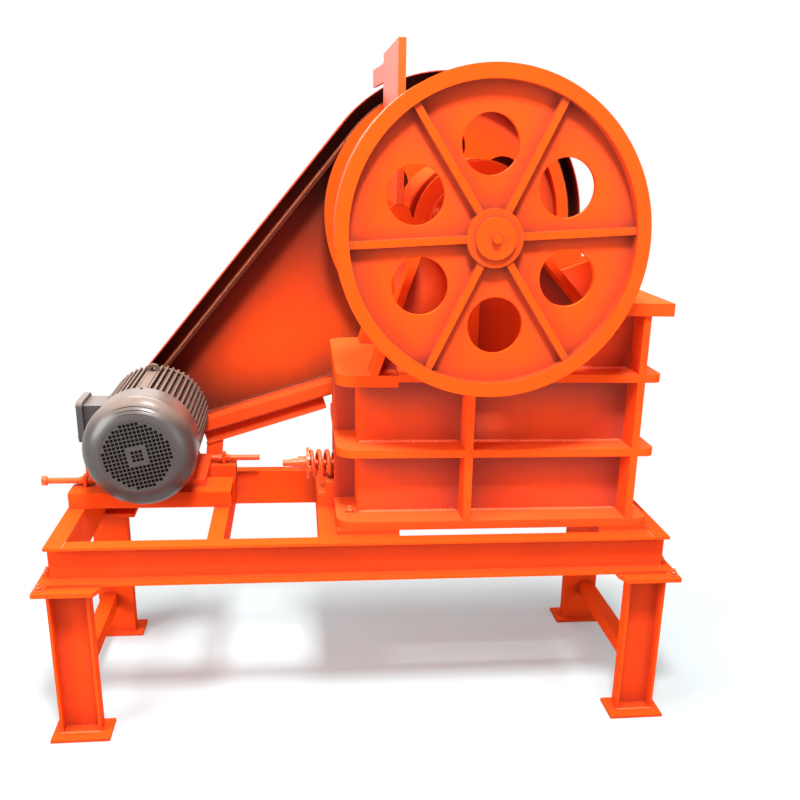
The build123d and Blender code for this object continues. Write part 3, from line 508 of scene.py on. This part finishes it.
# shaded copy of the orange paint for the guard rim: a darker base as painted shade, and a
# near-black edge colour on all its edges as painted edge shade
SHADED_RIM_ORANGE = Paint("guard_rim_shaded_paint", (0.62, 0.066, 0.026), (0.85, 0.085, 0.025),
                   (0.085, 0.020, 0.015), (0.13, 0.022, 0.014), edge_share=1.0, reach=0.20, shade=1.0,
                   flake=0.0)
LIP_ORANGE = Paint("guard_lip_paint", (0.88, 0.085, 0.016), (1.0, 0.13, 0.03), (0.3, 0.04, 0.02),
                   (1.0, 0.22, 0.10), edge_share=0.3, reach=0.05, shade=0.4)
BEAD_ORANGE = Paint("weld_bead_paint", (0.97, 0.13, 0.035), (1.0, 0.22, 0.09), (0.4, 0.04, 0.02),
                    (1.0, 0.36, 0.22), rough=0.3, edge_share=0.4, reach=0.02, shade=0.3, flake=0.5,
                    gloss=0.3)
FIXING_ORANGE = Paint("fixing_orange_paint", (0.90, 0.085, 0.012), (1.0, 0.18, 0.04),
                      (0.2, 0.020, 0.010), (0.8, 0.42, 0.28), rough=0.3, edge_share=0.6, reach=0.03,
                      shade=0.7, gloss=0.3)
# painted highlight: the light top colour brightens the cowl's faces that look up over its dark
# base
MOTOR_GREY = Paint("motor_grey_paint", (0.052, 0.043, 0.040), (0.32, 0.230, 0.188),
                   (0.020, 0.013, 0.011), (0.24, 0.19, 0.17), rough=0.30, edge_share=0.25, reach=0.05,
                   grain=0.0002, gloss=0.5)
# painted highlight: the top colour lightens the tops of the fins; the deep colour is painted
# shade between them
FIN_GREY = Paint("motor_fin_paint", (0.105, 0.072, 0.058), (0.36, 0.240, 0.182),
                 (0.045, 0.026, 0.019), (0.50, 0.34, 0.26), rough=0.42, edge_share=0.7, reach=0.03,
                 shade=0.6, grain=0.0003, flake=0.4, gloss=0.05, lower=(0.80, 0.070, 0.012),
                 split=0.730)
# painted shade: the deep colour blackens the sides of the grille bars; the top colour is a
# painted highlight on bars that look up
GRILLE_GREY = Paint("fan_grille_paint", (0.055, 0.046, 0.043), (0.20, 0.15, 0.13),
                    (0.006, 0.004, 0.003), (0.16, 0.13, 0.12), rough=0.30, edge_share=0.4, reach=0.004,
                    shade=1.0, grain=0.0001, gloss=0.4)
CAST_STEEL = Metal("cast_jaw_steel", (0.17, 0.14, 0.125), (0.20, 0.085, 0.05), rough=0.5,
                   metallic=0.6)
SHAFT_STEEL = Metal("machined_shaft_steel", (0.42, 0.40, 0.38), (0.30, 0.22, 0.17), rough=0.28,
                    metallic=0.95, grain=0.0001, scale=300.0)
ZINC = Metal("zinc_fixing_steel", (0.30, 0.27, 0.25), (0.20, 0.14, 0.11), rough=0.35,
             metallic=0.9, grain=0.0001, scale=260.0)
# the dark base is the belt rubber, also darkened to the shade on the belts' sides; the light edge
# colour on every edge is a painted highlight line
BELT = Paint("belt_rubber_skin", (0.085, 0.020, 0.012), (0.30, 0.050, 0.025),
             (0.030, 0.008, 0.006), (1.0, 0.34, 0.17), rough=0.5, edge_share=1.0, reach=0.03,
             shade=0.4, flake=0.15, grain=0.0002)
# painted shadow: a near-black matt disc behind the fan grille stands in for the shade inside the
# fan cowl
FAN_SHADOW = Rubber("painted_fan_shadow", (0.003, 0.002, 0.002), (0.006, 0.004, 0.004), rough=0.9, gloss=0.05)


Finish = Paint | Metal | Rubber


class Palette:
    """Materials made once and shared."""

    def __init__(self) -> None:
        """Starts with no material."""
        self._made: dict[str, bpy.types.Material] = {}

    def get(self, finish: Finish) -> bpy.types.Material:
        """The material of a finish."""
        if finish.name not in self._made:
            self._made[finish.name] = finish.material()
        return self._made[finish.name]


# Meshes


class Shape:
    """A mesh under construction, in millimetres."""

    def __init__(self) -> None:
        """Starts empty."""
        self.points: list[Vector] = []
        self.faces: list[tuple[int, ...]] = []

    def skin(self, rings: Sequence[Sequence[Vector]], capped: bool = True) -> None:
        """Joins rings of equally many points.

        Args:
            rings: the rings, in order.
            capped: whether the first and last ring get a face.
        """
        start = len(self.points)
        count = len(rings[0])
        for ring in rings:
            self.points.extend(ring)
        for row in range(len(rings) - 1):
            here = start + row * count
            after = here + count
            for index in range(count):
                side = (index + 1) % count
                self.faces.append((here + index, here + side, after + side, after + index))
        if capped:
            self.faces.append(tuple(range(start + count - 1, start - 1, -1)))
            last = start + (len(rings) - 1) * count
            self.faces.append(tuple(range(last, last + count)))

    def lathe(self, centre: Point, axis: Point, profile: Sequence[tuple[float, float]],
              steps: int = 24, turn: float = 0.0) -> None:
        """Turned or many-sided body.

        Args:
            centre: its start.
            axis: its direction.
            profile: place along the axis and radius, in order.
            steps: number of sides.
            turn: angle of the first side, in degrees.
        """
        along, across, upright = self._frame(axis)
        rings = []
        for place, radius in profile:
            ring = []
            for step in range(steps):
                angle = 2 * math.pi * step / steps + math.radians(turn)
                spoke = across * math.cos(angle) + upright * math.sin(angle)
                ring.append(Vector(centre) + along * place + spoke * max(radius, 0.01))
            rings.append(ring)
        self.skin(rings)

    @staticmethod
    def _frame(axis: Point) -> tuple[Vector, Vector, Vector]:
        """Direction along the axis and two across it."""
        along = Vector(axis).normalized()
        helper = Vector((0, 0, 1)) if abs(along.z) < 0.9 else Vector((1, 0, 0))
        across = helper.cross(along).normalized()
        return along, across, along.cross(across)

    def bolt(self, centre: Point, axis: Point, size: float, stub: float = 0.0,
             turn: float = 0.0) -> None:
        """Hexagon on a washer, with a thread end if it is a nut.

        Args:
            centre: middle of the washer's seat.
            axis: direction away from the seat.
            size: thread diameter.
            stub: length of the thread end over the hexagon.
            turn: angle of the hexagon, in degrees.
        """
        washer = 0.18 * size
        height = 0.8 * size
        across = 0.9 * size
        ring = [(0, 1.15 * size), (washer * 0.8, 1.15 * size), (washer, 1.08 * size)]
        self.lathe(centre, axis, ring)
        head = [(washer, across * 0.94), (washer + 0.08 * size, across),
                (washer + height - 0.14 * size, across), (washer + height, across * 0.84)]
        self.lathe(centre, axis, head, HEXAGON, turn)
        if stub > 0:
            start = washer + height
            ridges = max(2, int(stub / 2.5))
            profile = []
            for ridge in range(ridges):
                low = start + stub * ridge / ridges
                profile += [(low, 0.44 * size), (low + 0.5 * stub / ridges, 0.5 * size)]
            profile.append((start + stub, 0.40 * size))
            self.lathe(centre, axis, profile, THREAD_SIDES)

    def tube(self, path: Sequence[Vector], radii: Sequence[float]) -> None:
        """Round bar along a path, with TUBE_SIDES sides.

        Args:
            path: its middle points.
            radii: its radius at each of them.
        """
        rings = []
        for index, (middle, radius) in enumerate(zip(path, radii)):
            before = path[max(index - 1, 0)]
            after = path[min(index + 1, len(path) - 1)]
            _, across, upright = self._frame(tuple(after - before))
            ring = []
            for side in range(TUBE_SIDES):
                angle = 2 * math.pi * side / TUBE_SIDES
                spoke = across * math.cos(angle) + upright * math.sin(angle)
                ring.append(middle + spoke * radius)
            rings.append(ring)
        self.skin(rings)

    def bead(self, start: Point, end: Point, width: float, rng: random.Random,
             pitch: float = 7.0) -> None:
        """Weld bead between two points, as overlapping ripples.

        Args:
            start: its first point, in the corner.
            end: its last point.
            width: its width.
            rng: source of its unevenness.
            pitch: length of a ripple.
        """
        first, last = Vector(start), Vector(end)
        along, across, _ = self._frame(tuple(last - first))
        length = (last - first).length
        count = max(4, int(length / pitch))
        path, radii = [], []
        steps = count * len(BEAD_RIPPLES)
        for index in range(steps + 1):
            share = index / steps
            ripple = BEAD_RIPPLES[index % len(BEAD_RIPPLES)]
            taper = min(1.0, BEAD_TIP + min(share, 1 - share) * length / width)
            uneven = rng.uniform(1.0 - BEAD_UNEVEN, 1.0 + BEAD_UNEVEN)
            radii.append(0.5 * width * ripple * taper * uneven)
            sway = across * rng.uniform(-BEAD_SWAY, BEAD_SWAY) * width
            path.append(first + along * (share * length) + sway)
        self.tube(path, radii)

    def lattice(self, centre: Point, radius: float, pitch: float, hole: float, depth: float,
                turn: float, solid: Callable[[float, float], bool]) -> None:
        """Round sheet with square holes, facing -Y.

        Args:
            centre: middle of its face.
            radius: its radius.
            pitch: distance of the holes.
            hole: side of a hole.
            depth: thickness of the sheet.
            turn: angle of the rows, in degrees.
            solid: tells whether the cell at that place has no hole.
        """
        cosine, sine = math.cos(math.radians(turn)), math.sin(math.radians(turn))
        reach = int(radius / pitch) + 1
        half, gap = pitch / 2, hole / 2
        plain_edge = radius - 0.6 * pitch

        def at(u: float, v: float, back: float) -> Vector:
            """Point of the sheet, kept within its edge."""
            inside = min(1.0, radius / max(math.hypot(u, v), 0.001))
            u, v = u * inside, v * inside
            x = centre[0] + u * cosine - v * sine
            return Vector((x, centre[1] + back, centre[2] + u * sine + v * cosine))

        corners = ((-1, -1), (1, -1), (1, 1), (-1, 1))
        for row in range(-reach, reach + 1):
            for column in range(-reach, reach + 1):
                u, v = column * pitch, row * pitch
                if min(math.hypot(u + a * half, v + b * half) for a, b in corners) > radius:
                    continue
                outer = [at(u + a * half, v + b * half, 0) for a, b in corners]
                if math.hypot(u, v) > plain_edge or solid(u, v):
                    start = len(self.points)
                    self.points.extend(outer)
                    self.faces.append((start, start + 1, start + 2, start + 3))
                    continue
                inner = [at(u + a * gap, v + b * gap, 0.3) for a, b in corners]
                deep = [at(u + a * gap, v + b * gap, depth) for a, b in corners]
                self.skin([outer, inner, deep], capped=False)

    def made(self, name: str, origin: Vector,
             smooth_angle: float = SMOOTH_ANGLE) -> bpy.types.Object:
        """Turns the shape into an object.

        Args:
            name: name of the object.
            origin: where the drawing's middle lies, in metres.
            smooth_angle: edges sharper than this stay sharp, in degrees.

        Returns:
            The object, its origin at the world's.
        """
        mesh = bpy.data.meshes.new(name)
        mesh.from_pydata([origin + point * MM for point in self.points], [], self.faces)
        mesh.update()
        mesh.polygons.foreach_set("use_smooth", [True] * len(mesh.polygons))
        mesh.set_sharp_from_angle(angle=math.radians(smooth_angle))
        thing = bpy.data.objects.new(name, mesh)
        bpy.context.scene.collection.objects.link(thing)
        return thing


class Datum:
    """Middle of the stand on the ground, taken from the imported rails."""

    def __init__(self) -> None:
        """Measures the rails."""
        front_low, front_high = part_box("front_rail")
        back_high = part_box("rear_rail")[1]
        middle_x = (front_low[0] + front_high[0]) / 2
        self.origin = Vector((middle_x, (front_low[1] + back_high[1]) / 2, 0.0))
        log.info("middle of the stand at %s", self.origin)


class SubAssembly:
    """One group of the crusher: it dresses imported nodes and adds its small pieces."""

    #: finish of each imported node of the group
    finishes: dict[str, Finish] = {}

    def __init__(self, datum: Datum, palette: Palette) -> None:
        """Keeps the datum and the palette."""
        self.datum = datum
        self.palette = palette
        self.rng = random.Random(RANDOM_SEED)

    def dress(self) -> None:
        """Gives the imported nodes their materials."""
        for node, finish in self.finishes.items():
            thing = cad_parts[node]
            thing.data.materials.clear()
            thing.data.materials.append(self.palette.get(finish))

    def build(self) -> None:
        """Adds the small pieces; nothing by default."""

    def turned(self) -> float:
        """Chance angle of a hexagon, in degrees."""
        return self.rng.uniform(0, HEXAGON_TURN)

    def add(self, name: str, shape: Shape, finish: Finish, slot: Slot,
            body: Body = Body.MACHINE, smooth_angle: float = SMOOTH_ANGLE) -> None:
        """Makes an added piece.

        Args:
            name: its name.
            shape: its mesh.
            finish: its finish.
            slot: slot of the record it belongs to; not used.
            body: body it moves with.
            smooth_angle: edges sharper than this stay sharp, in degrees.
        """
        thing = shape.made(name, self.datum.origin, smooth_angle)
        thing.data.materials.append(self.palette.get(finish))
        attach(thing, body.value)
        log.info("%s: %d faces", name, len(thing.data.polygons))


# Groups of the crusher


@dataclass(frozen=True)
class StandSizes:
    """Sizes of the stand, in millimetres."""

    half_length: float = 965
    half_width: float = 409
    top: float = 644
    base: float = 518
    cap: float = 14
    foot: float = 10
    cap_bolts: Pairs = ((987, 290), (985, 425))
    fixing: float = 12.5
    stub: float = 9
    leg_inner: float = 849
    leg_outer: float = 975
    leg_tip: float = 395
    leg_flange: float = 53
    corner_inset: float = 56
    corner_seam: float = 54
    leg_bead: float = 7
    corner_bead: float = 6


class Stand(SubAssembly):
    """Channel steel stand on four legs."""

    sizes = StandSizes()
    finishes = {node: STAND_ORANGE for node in (
        "front_rail", "rear_rail", "left_end_beam", "right_end_beam", "motor_cross_member",
        "crusher_bearer_rear", "crusher_bearer_front", "leg_front_left", "leg_front_right",
        "leg_back_left", "leg_back_right", "leg_tie_left", "leg_tie_right")}

    def build(self) -> None:
        """Adds the bolts of the leg caps and the weld beads."""
        s = self.sizes
        bolts, beads = Shape(), Shape()
        for side in (-1, 1):
            for end in (-1, 1):
                for x, y in s.cap_bolts:
                    place = (side * x, end * y, s.base)
                    bolts.bolt(place, UPWARD, s.fixing, s.stub, self.turned())
                near, outer = side * s.leg_inner, side * s.leg_outer
                tip, inner_tip = end * s.leg_tip, end * (s.leg_tip - s.leg_flange)
                for z in (s.foot, s.base - s.cap):
                    beads.bead((near, tip, z), (outer, tip, z), s.leg_bead, self.rng)
                    beads.bead((outer, tip, z), (outer, inner_tip, z), s.leg_bead, self.rng)
                x = side * (s.half_length - s.corner_inset)
                start = (x, end * s.half_width, s.top)
                finish = (x, end * (s.half_width - s.corner_seam), s.top - 0.5)
                beads.bead(start, finish, s.corner_bead, self.rng)
        self.add("stand_bolts", bolts, FIXING_ORANGE, Slot.PAINT)
        self.add("stand_weld_beads", beads, BEAD_ORANGE, Slot.PAINT)


@dataclass(frozen=True)
class BodySizes:
    """Sizes of the crusher's body, in millimetres."""

    wall: float = 237
    left: float = -27
    foot: float = 685
    low_rib: float = 892
    high_rib: float = 1128
    rib: float = 25
    middle: float = 300
    right_rib: float = 832
    mouth: float = 1333
    foot_bolts: Pairs = ((-52, 245), (886, 216))
    fixing: float = 14
    stub: float = 10
    inset: float = 4
    pitch: float = 9
    foot_bead: float = 13
    rib_bead: float = 14
    upper_bead: float = 12
    upper_start: float = 95
    mouth_bead: float = 8
    mouth_start: float = 655


class CrusherBody(SubAssembly):
    """Welded body with its walls, ribs and feed mouth."""

    sizes = BodySizes()
    finishes = {node: ORANGE for node in (
        "side_wall_front", "side_wall_rear", "toggle_wall", "fixed_jaw_wall", "feed_mouth_frame")}

    def build(self) -> None:
        """Adds the foot bolts and the weld beads along the ribs."""
        s = self.sizes
        bolts, beads = Shape(), Shape()
        for end in (-1, 1):
            wall = end * s.wall
            for x, y in s.foot_bolts:
                place = (x, end * y, s.foot)
                bolts.bolt(place, UPWARD, s.fixing, s.stub, self.turned())
            spans = ((s.left + s.inset, s.middle - s.inset),
                     (s.middle + s.rib + s.inset, s.right_rib - s.inset))
            for low, high in spans:
                for z, width in ((s.foot, s.foot_bead), (s.low_rib + s.rib, s.rib_bead)):
                    beads.bead((low, wall, z), (high, wall, z), width, self.rng, s.pitch)
            (_, left_end), (right_start, right_end) = spans
            z = s.high_rib + s.rib
            beads.bead((s.upper_start, wall, z), (left_end, wall, z), s.upper_bead, self.rng)
            beads.bead((right_start, wall, z), (right_end, wall, z), s.rib_bead, self.rng,
                       s.pitch)
            beads.bead((s.mouth_start, wall, s.mouth), (right_end, wall, s.mouth),
                       s.mouth_bead, self.rng)
        self.add("body_foot_bolts", bolts, FIXING_ORANGE, Slot.PAINT)
        self.add("body_weld_beads", beads, BEAD_ORANGE, Slot.PAINT)


class JawSet(SubAssembly):
    """Swing jaw, its plates and the toggle."""

    finishes = {"swing_jaw": ORANGE, "toggle_seat": ORANGE, "toggle_plate": ORANGE,
                "moving_jaw_plate": CAST_STEEL, "fixed_jaw_plate": CAST_STEEL,
                "cheek_plate_front": CAST_STEEL, "cheek_plate_rear": CAST_STEEL}


class Wheels(SubAssembly):
    """Flywheel, belt pulley and the shaft between them."""

    finishes = {"front_flywheel": WHEEL_ORANGE, "drive_pulley": WHEEL_ORANGE,
                "eccentric_shaft": SHAFT_STEEL}


@dataclass(frozen=True)
class BoltCircle:
    """One ring of bolts on a bearing housing, in millimetres and degrees.

    Attributes:
        count: number of bolts.
        first: angle of the first one.
        radius: radius of the ring.
        depth: distance of its face from the wall.
        size: thread diameter.
        stub: length of the thread end over the hexagon.
    """

    count: int
    first: float
    radius: float
    depth: float
    size: float
    stub: float


@dataclass(frozen=True)
class BearingSizes:
    """Place of the shaft and the bolt rings of its housings, in millimetres."""

    x: float = 329
    z: float = 1560
    wall: float = 237
    circles: tuple[BoltCircle, ...] = (BoltCircle(8, 22.5, 136, 22, 13, 4),
                                       BoltCircle(6, 0.0, 76, 116, 8, 0))


class Bearings(SubAssembly):
    """Housings of the shaft on both side walls."""

    sizes = BearingSizes()
    finishes = {"bearing_housing_front": ORANGE, "bearing_housing_rear": ORANGE}

    def build(self) -> None:
        """Adds the flange bolts and the cover screws."""
        s = self.sizes
        bolts = Shape()
        for end in (-1, 1):
            for circle in s.circles:
                for index in range(circle.count):
                    angle = math.radians(circle.first + 360 / circle.count * index)
                    place = (s.x + circle.radius * math.cos(angle), end * (s.wall + circle.depth),
                             s.z + circle.radius * math.sin(angle))
                    bolts.bolt(place, (0, end, 0), circle.size, circle.stub, self.turned())
        self.add("bearing_bolts", bolts, FIXING_ORANGE, Slot.PAINT)


class TensionGear(SubAssembly):
    """Rod, spring and bracket that hold the toggle plate."""

    finishes = {"tension_rod": FIXING_ORANGE, "tension_spring": FIXING_ORANGE,
                "spring_bracket": ORANGE}


@dataclass(frozen=True)
class MotorSizes:
    """Sizes of the motor, in millimetres, and turns in degrees."""

    x: float = -703
    z: float = 871
    face: float = -222
    back: float = -28
    grille: float = 112
    cowl: float = 172
    lid: float = -924
    lid_near: float = 22
    lid_far: float = 194
    lid_low: float = 845
    lid_high: float = 982
    lid_inset: float = 17
    screw: float = 5
    cowl_screws: int = 4
    cowl_screw_inset: float = 14
    cowl_screw_turn: float = 20
    pitch: float = 12.4
    hole: float = 9.5
    grille_turn: float = 12
    grille_gap: float = 0.6
    grille_depth: float = 2.2
    shade_gap: float = 2.9
    shade_sides: int = 48
    ridges: Pairs = ((133, -216.4), (143, -211.0), (153, -203.1))
    ridge_start: float = 116
    ridge_arc: float = 52
    ridge_steps: int = 24
    ridge_thin: float = 0.4
    ridge_rise: float = 2.0
    gland: tuple[float, float] = (-875, 108)
    gland_nut: Pairs = ((0, 19), (8, 19), (9, 16), (14, 16))
    nut_lift: float = 13
    gland_neck: Pairs = ((0, 13), (10, 13), (12, 10))
    neck_lift: float = -1
    neck_sides: int = 20
    tension_bolts: Pairs = ((-916, 32), (-480, 291))
    bolt_z: float = 716
    lug: float = 5.5
    nut: float = 15


class Motor(SubAssembly):
    """Motor with its fan cowl, terminal box, slides and tension bolts."""

    sizes = MotorSizes()
    finishes = {"motor_fan_cowl": MOTOR_GREY, "motor_housing": FIN_GREY,
                "motor_terminal_box": MOTOR_GREY, "motor_shaft": SHAFT_STEEL,
                "motor_pulley": ORANGE, "motor_slide_front": STAND_ORANGE,
                "motor_slide_rear": STAND_ORANGE, "tension_bolt_left": FIXING_ORANGE,
                "tension_bolt_right": FIXING_ORANGE}

    def _round_axis(self, radius: float, angle: float, y: float) -> Vector:
        """Point at that radius and angle round the motor's axis."""
        s = self.sizes
        return Vector((s.x + radius * math.cos(angle), y, s.z + radius * math.sin(angle)))

    def build(self) -> None:
        """Adds the painted shadow disc behind the grille, the grille, the cowl ridges, the
        screws, the nuts and the cable gland.
        """
        s = self.sizes

        def solid(u: float, v: float) -> bool:
            """The blank square ring round the middle holes."""
            reach = max(abs(u), abs(v))
            return 1.5 * s.pitch < reach < 2.5 * s.pitch

        # the shade disc is a painted shadow: a near-black sheet behind the grille where the
        # inside of the cowl lies in shade
        shade, grille = Shape(), Shape()
        disc = [(0, s.grille - 0.5), (0.3, s.grille - 1)]
        shade.lathe((s.x, s.face + s.shade_gap, s.z), FORWARD, disc, s.shade_sides)
        grille.lattice((s.x, s.face + s.grille_gap, s.z), s.grille - 0.3, s.pitch, s.hole,
                       s.grille_depth, s.grille_turn, solid)
        ridges = Shape()
        for radius, y in s.ridges:
            path, radii = [], []
            for step in range(s.ridge_steps + 1):
                share = step / s.ridge_steps
                angle = math.radians(s.ridge_start - s.ridge_arc * share)
                path.append(self._round_axis(radius, angle, y))
                swell = math.sin(math.pi * share) ** 0.5
                radii.append(s.ridge_thin + s.ridge_rise * swell)
            ridges.tube(path, radii)
        for index in range(s.cowl_screws):
            angle = math.tau * index / s.cowl_screws
            place = self._round_axis(s.cowl - 0.5, angle, s.back - s.cowl_screw_inset)
            outward = (math.cos(angle), 0, math.sin(angle))
            ridges.bolt(place, outward, s.screw, 0, s.cowl_screw_turn)
        screws = Shape()
        for y in (s.lid_near + s.lid_inset, s.lid_far - s.lid_inset):
            for z in (s.lid_low + s.lid_inset, s.lid_high - s.lid_inset):
                screws.bolt((s.lid, y, z), (-1, 0, 0), s.screw, 0, self.turned())
        gland = Shape()
        gland.lathe((*s.gland, s.lid_low + s.nut_lift), DOWNWARD, s.gland_nut, HEXAGON)
        gland.lathe((*s.gland, s.lid_low + s.neck_lift), DOWNWARD, s.gland_neck, s.neck_sides)
        nuts = Shape()
        for x, y in s.tension_bolts:
            for side in (-1, 1):
                place = (x + side * s.lug, y, s.bolt_z)
                nuts.bolt(place, (side, 0, 0), s.nut, 0, self.turned())
        self.add("painted_fan_shadow", shade, FAN_SHADOW, Slot.MOTOR)
        self.add("fan_grille", grille, GRILLE_GREY, Slot.MOTOR, smooth_angle=SHARP_ANGLE)
        self.add("cowl_ridges", ridges, MOTOR_GREY, Slot.MOTOR)
        self.add("motor_screws", screws, ZINC, Slot.STEEL)
        self.add("cable_gland", gland, MOTOR_GREY, Slot.MOTOR)
        self.add("tension_bolt_nuts", nuts, FIXING_ORANGE, Slot.PAINT)


@dataclass(frozen=True)
class FoldSizes:
    """Fold along the top of the guard's lip, in millimetres.

    Attributes:
        slope: its slope along the guard, in degrees.
        ends: X and Z of its two ends.
        profile: Y and height over the ends of its outline's corners.
    """

    slope: float = 17.345
    ends: Pairs = ((-628, 758.2), (60, 973.1))
    profile: Pairs = ((393.2, 3), (391.0, 6), (385.5, 45), (396.5, 71), (398.0, 70))


class Drive(SubAssembly):
    """Belts, their guard and the plate at the feed mouth."""

    sizes = FoldSizes()
    finishes = {"drive_belts": BELT, "belt_guard_plate": GUARD_ORANGE,
                "belt_guard_rim": SHADED_RIM_ORANGE, "belt_guard_support": LIP_ORANGE,
                "feed_guard_plate": SHEET_ORANGE}

    def build(self) -> None:
        """Adds the fold along the top of the guard's lip."""
        slope = math.radians(self.sizes.slope)
        back, rise = math.sin(slope), math.cos(slope)
        rings = []
        for x, z in self.sizes.ends:
            rings.append([Vector((x - lift * back, y, z + lift * rise))
                          for y, lift in self.sizes.profile])
        fold = Shape()
        fold.skin(rings)
        self.add("guard_lip_fold", fold, LIP_ORANGE, Slot.PAINT, smooth_angle=SHARP_ANGLE)


# Studio


@dataclass(frozen=True)
class CameraPose:
    """Camera fitted to the photograph.

    Attributes:
        place: its place, in metres.
        azimuth: its turn about Z, in degrees.
        elevation: how far it looks down, in degrees.
        roll: its roll, in degrees.
        sensor: width of its sensor, in millimetres.
        lens: its focal length, in millimetres.
        shift: shift of the sensor in X and Y, as a share of its width.
        sight: how far it sees, in metres.
    """

    place: Point = (-0.1775, -3.304, 1.759)
    azimuth: float = -8.38
    elevation: float = 20.38
    roll: float = 1.9
    sensor: float = 36.0
    lens: float = 45.26
    shift: tuple[float, float] = (-0.05125, 0.16525)
    sight: float = 60.0


@dataclass(frozen=True)
class FloorLook:
    """Floor disc with the shadow, and where it turns white.

    Attributes:
        rings: radii of its rings, in millimetres.
        sides: number of its sides.
        level: its height, in millimetres.
        tints: its two colours.
        patches: repeats of the tints a metre.
        tinted: share of the second tint.
        rough: its roughness.
        least: share of white under the crusher.
        far: distances over which it turns white, in metres, as the next ones.
        ahead: places on Y over which the white in front ends.
        front: share of the white in front.
        behind: places on Y over which the white behind starts.
    """

    rings: tuple[float, ...] = (0.01, 900, 2600, 9000, 30000)
    sides: int = 64
    level: float = -0.4
    tints: tuple[Colour, Colour] = ((0.61, 0.72, 0.735), (0.59, 0.70, 0.715))
    patches: float = 2.0
    tinted: float = 0.2
    rough: float = 0.9
    least: float = 0.17
    far: tuple[float, float] = (1.1, 1.9)
    ahead: tuple[float, float] = (-0.55, -0.20)
    front: float = 0.9
    behind: tuple[float, float] = (0.5, 1.1)


@dataclass(frozen=True)
class Lamp:
    """Soft area light aimed at a point."""

    name: str
    place: Point
    target: Point
    size: float
    power: float


class Studio:
    """White floor, soft lights and the camera."""

    pose = CameraPose()
    look = FloorLook()
    sky_light = 0.40
    sky_seen = 1.0
    lamps = (
        Lamp("key", (0.0, -2.95, 4.6), (0.0, 0.0, 1.0), 0.8, 300.0),
        Lamp("left", (-3.6, -2.2, 2.2), (0.0, 0.0, 1.0), 2.2, 160.0),
        Lamp("fill", (3.0, -3.8, 1.8), (0.1, 0.0, 1.0), 2.4, 45.0),
        Lamp("top", (0.0, 0.4, 4.8), (0.0, 0.0, 1.0), 0.9, 90.0),
        Lamp("back", (-0.8, 4.0, 3.6), (0.1, 0.0, 1.2), 2.0, 40.0),
    )

    def build(self) -> None:
        """Makes everything that isn't part of the crusher."""
        self._floor()
        self._world()
        for lamp in self.lamps:
            self._lamp(lamp)
        self._camera()

    def _floor(self) -> None:
        """Pale floor that keeps the shadow and fades into white."""
        look = self.look
        rings = []
        for radius in look.rings:
            ring = []
            for side in range(look.sides):
                angle = side * math.tau / look.sides
                x, y = radius * math.cos(angle), radius * math.sin(angle)
                ring.append(Vector((x, y, look.level)))
            rings.append(ring)
        shape = Shape()
        shape.skin(rings, capped=False)
        floor = shape.made("studio_floor", Vector((0, 0, 0)))
        g = Graph(bpy.data.materials.new("studio_floor_paint"))
        place = g.geometry("Position")
        far = g.vector_math("LENGTH", place, out="Value").above(*look.far)
        depth = g.part(place, "Y")
        ahead = 1.0 - depth.above(*look.ahead)
        behind = depth.above(*look.behind)
        seen = (g.ray("Camera") + g.ray("Glossy") + g.ray("Transmission")).clamped()
        white = g.node("ShaderNodeEmission", inputs={"Color": (1, 1, 1, 1), "Strength": 1.0})
        tint = g.mix(g.noise(look.patches) * look.tinted, *look.tints)
        matt = g.node("ShaderNodeBsdfPrincipled", inputs={
            "Base Color": tint, "Roughness": look.rough, "Specular IOR Level": 0.0})
        share = far + look.front * ahead + behind
        share = (look.least + (1.0 - look.least) * share).clamped()
        g.end(g.node("ShaderNodeMixShader", inputs={0: seen * share, 1: matt, 2: white}))
        floor.data.materials.append(g.owner)

    def _world(self) -> None:
        """White behind the floor, a soft sky for the light."""
        world = bpy.data.worlds.new("studio_world")
        bpy.context.scene.world = world
        g = Graph(world)
        strength = g.node("ShaderNodeMapRange", inputs={
            "Value": g.ray("Camera") + g.ray("Glossy"), "To Min": self.sky_light,
            "To Max": self.sky_seen})
        white = {"Color": (1.0, 1.0, 1.0, 1.0), "Strength": strength}
        g.end(g.node("ShaderNodeBackground", inputs=white), "ShaderNodeOutputWorld")

    @staticmethod
    def _lamp(lamp: Lamp) -> None:
        """Makes one area light."""
        data = bpy.data.lights.new(lamp.name, "AREA")
        data.size = lamp.size
        data.energy = lamp.power
        thing = bpy.data.objects.new(lamp.name, data)
        aim = Vector(lamp.target) - Vector(lamp.place)
        thing.rotation_euler = aim.to_track_quat("-Z", "Y").to_euler()
        thing.location = lamp.place
        bpy.context.scene.collection.objects.link(thing)

    def _camera(self) -> None:
        """Makes the fitted camera."""
        p = self.pose
        a, e, r = (math.radians(value) for value in (p.azimuth, p.elevation, p.roll))
        ahead = Vector((-math.sin(a) * math.cos(e), math.cos(a) * math.cos(e), -math.sin(e)))
        right = Vector((math.cos(a), math.sin(a), 0.0))
        up = right.cross(ahead)
        right, up = right * math.cos(r) + up * math.sin(r), up * math.cos(r) - right * math.sin(r)
        data = bpy.data.cameras.new("camera")
        data.sensor_width = p.sensor
        data.lens = p.lens
        data.shift_x, data.shift_y = p.shift
        data.clip_end = p.sight
        camera = bpy.data.objects.new("camera", data)
        turned = Matrix((right, up, -ahead)).transposed().to_4x4()
        camera.matrix_world = Matrix.Translation(p.place) @ turned
        bpy.context.scene.collection.objects.link(camera)
        bpy.context.scene.camera = camera


def main() -> None:
    """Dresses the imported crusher, adds its small pieces and sets up the studio."""
    datum, palette = Datum(), Palette()
    groups = (Stand, CrusherBody, JawSet, Wheels, Bearings, TensionGear, Motor, Drive)
    for kind in groups:
        group = kind(datum, palette)
        group.dress()
        group.build()
    Studio().build()
    bpy.context.scene.view_settings.view_transform = "Standard"


if __name__ == "__main__":
    main()
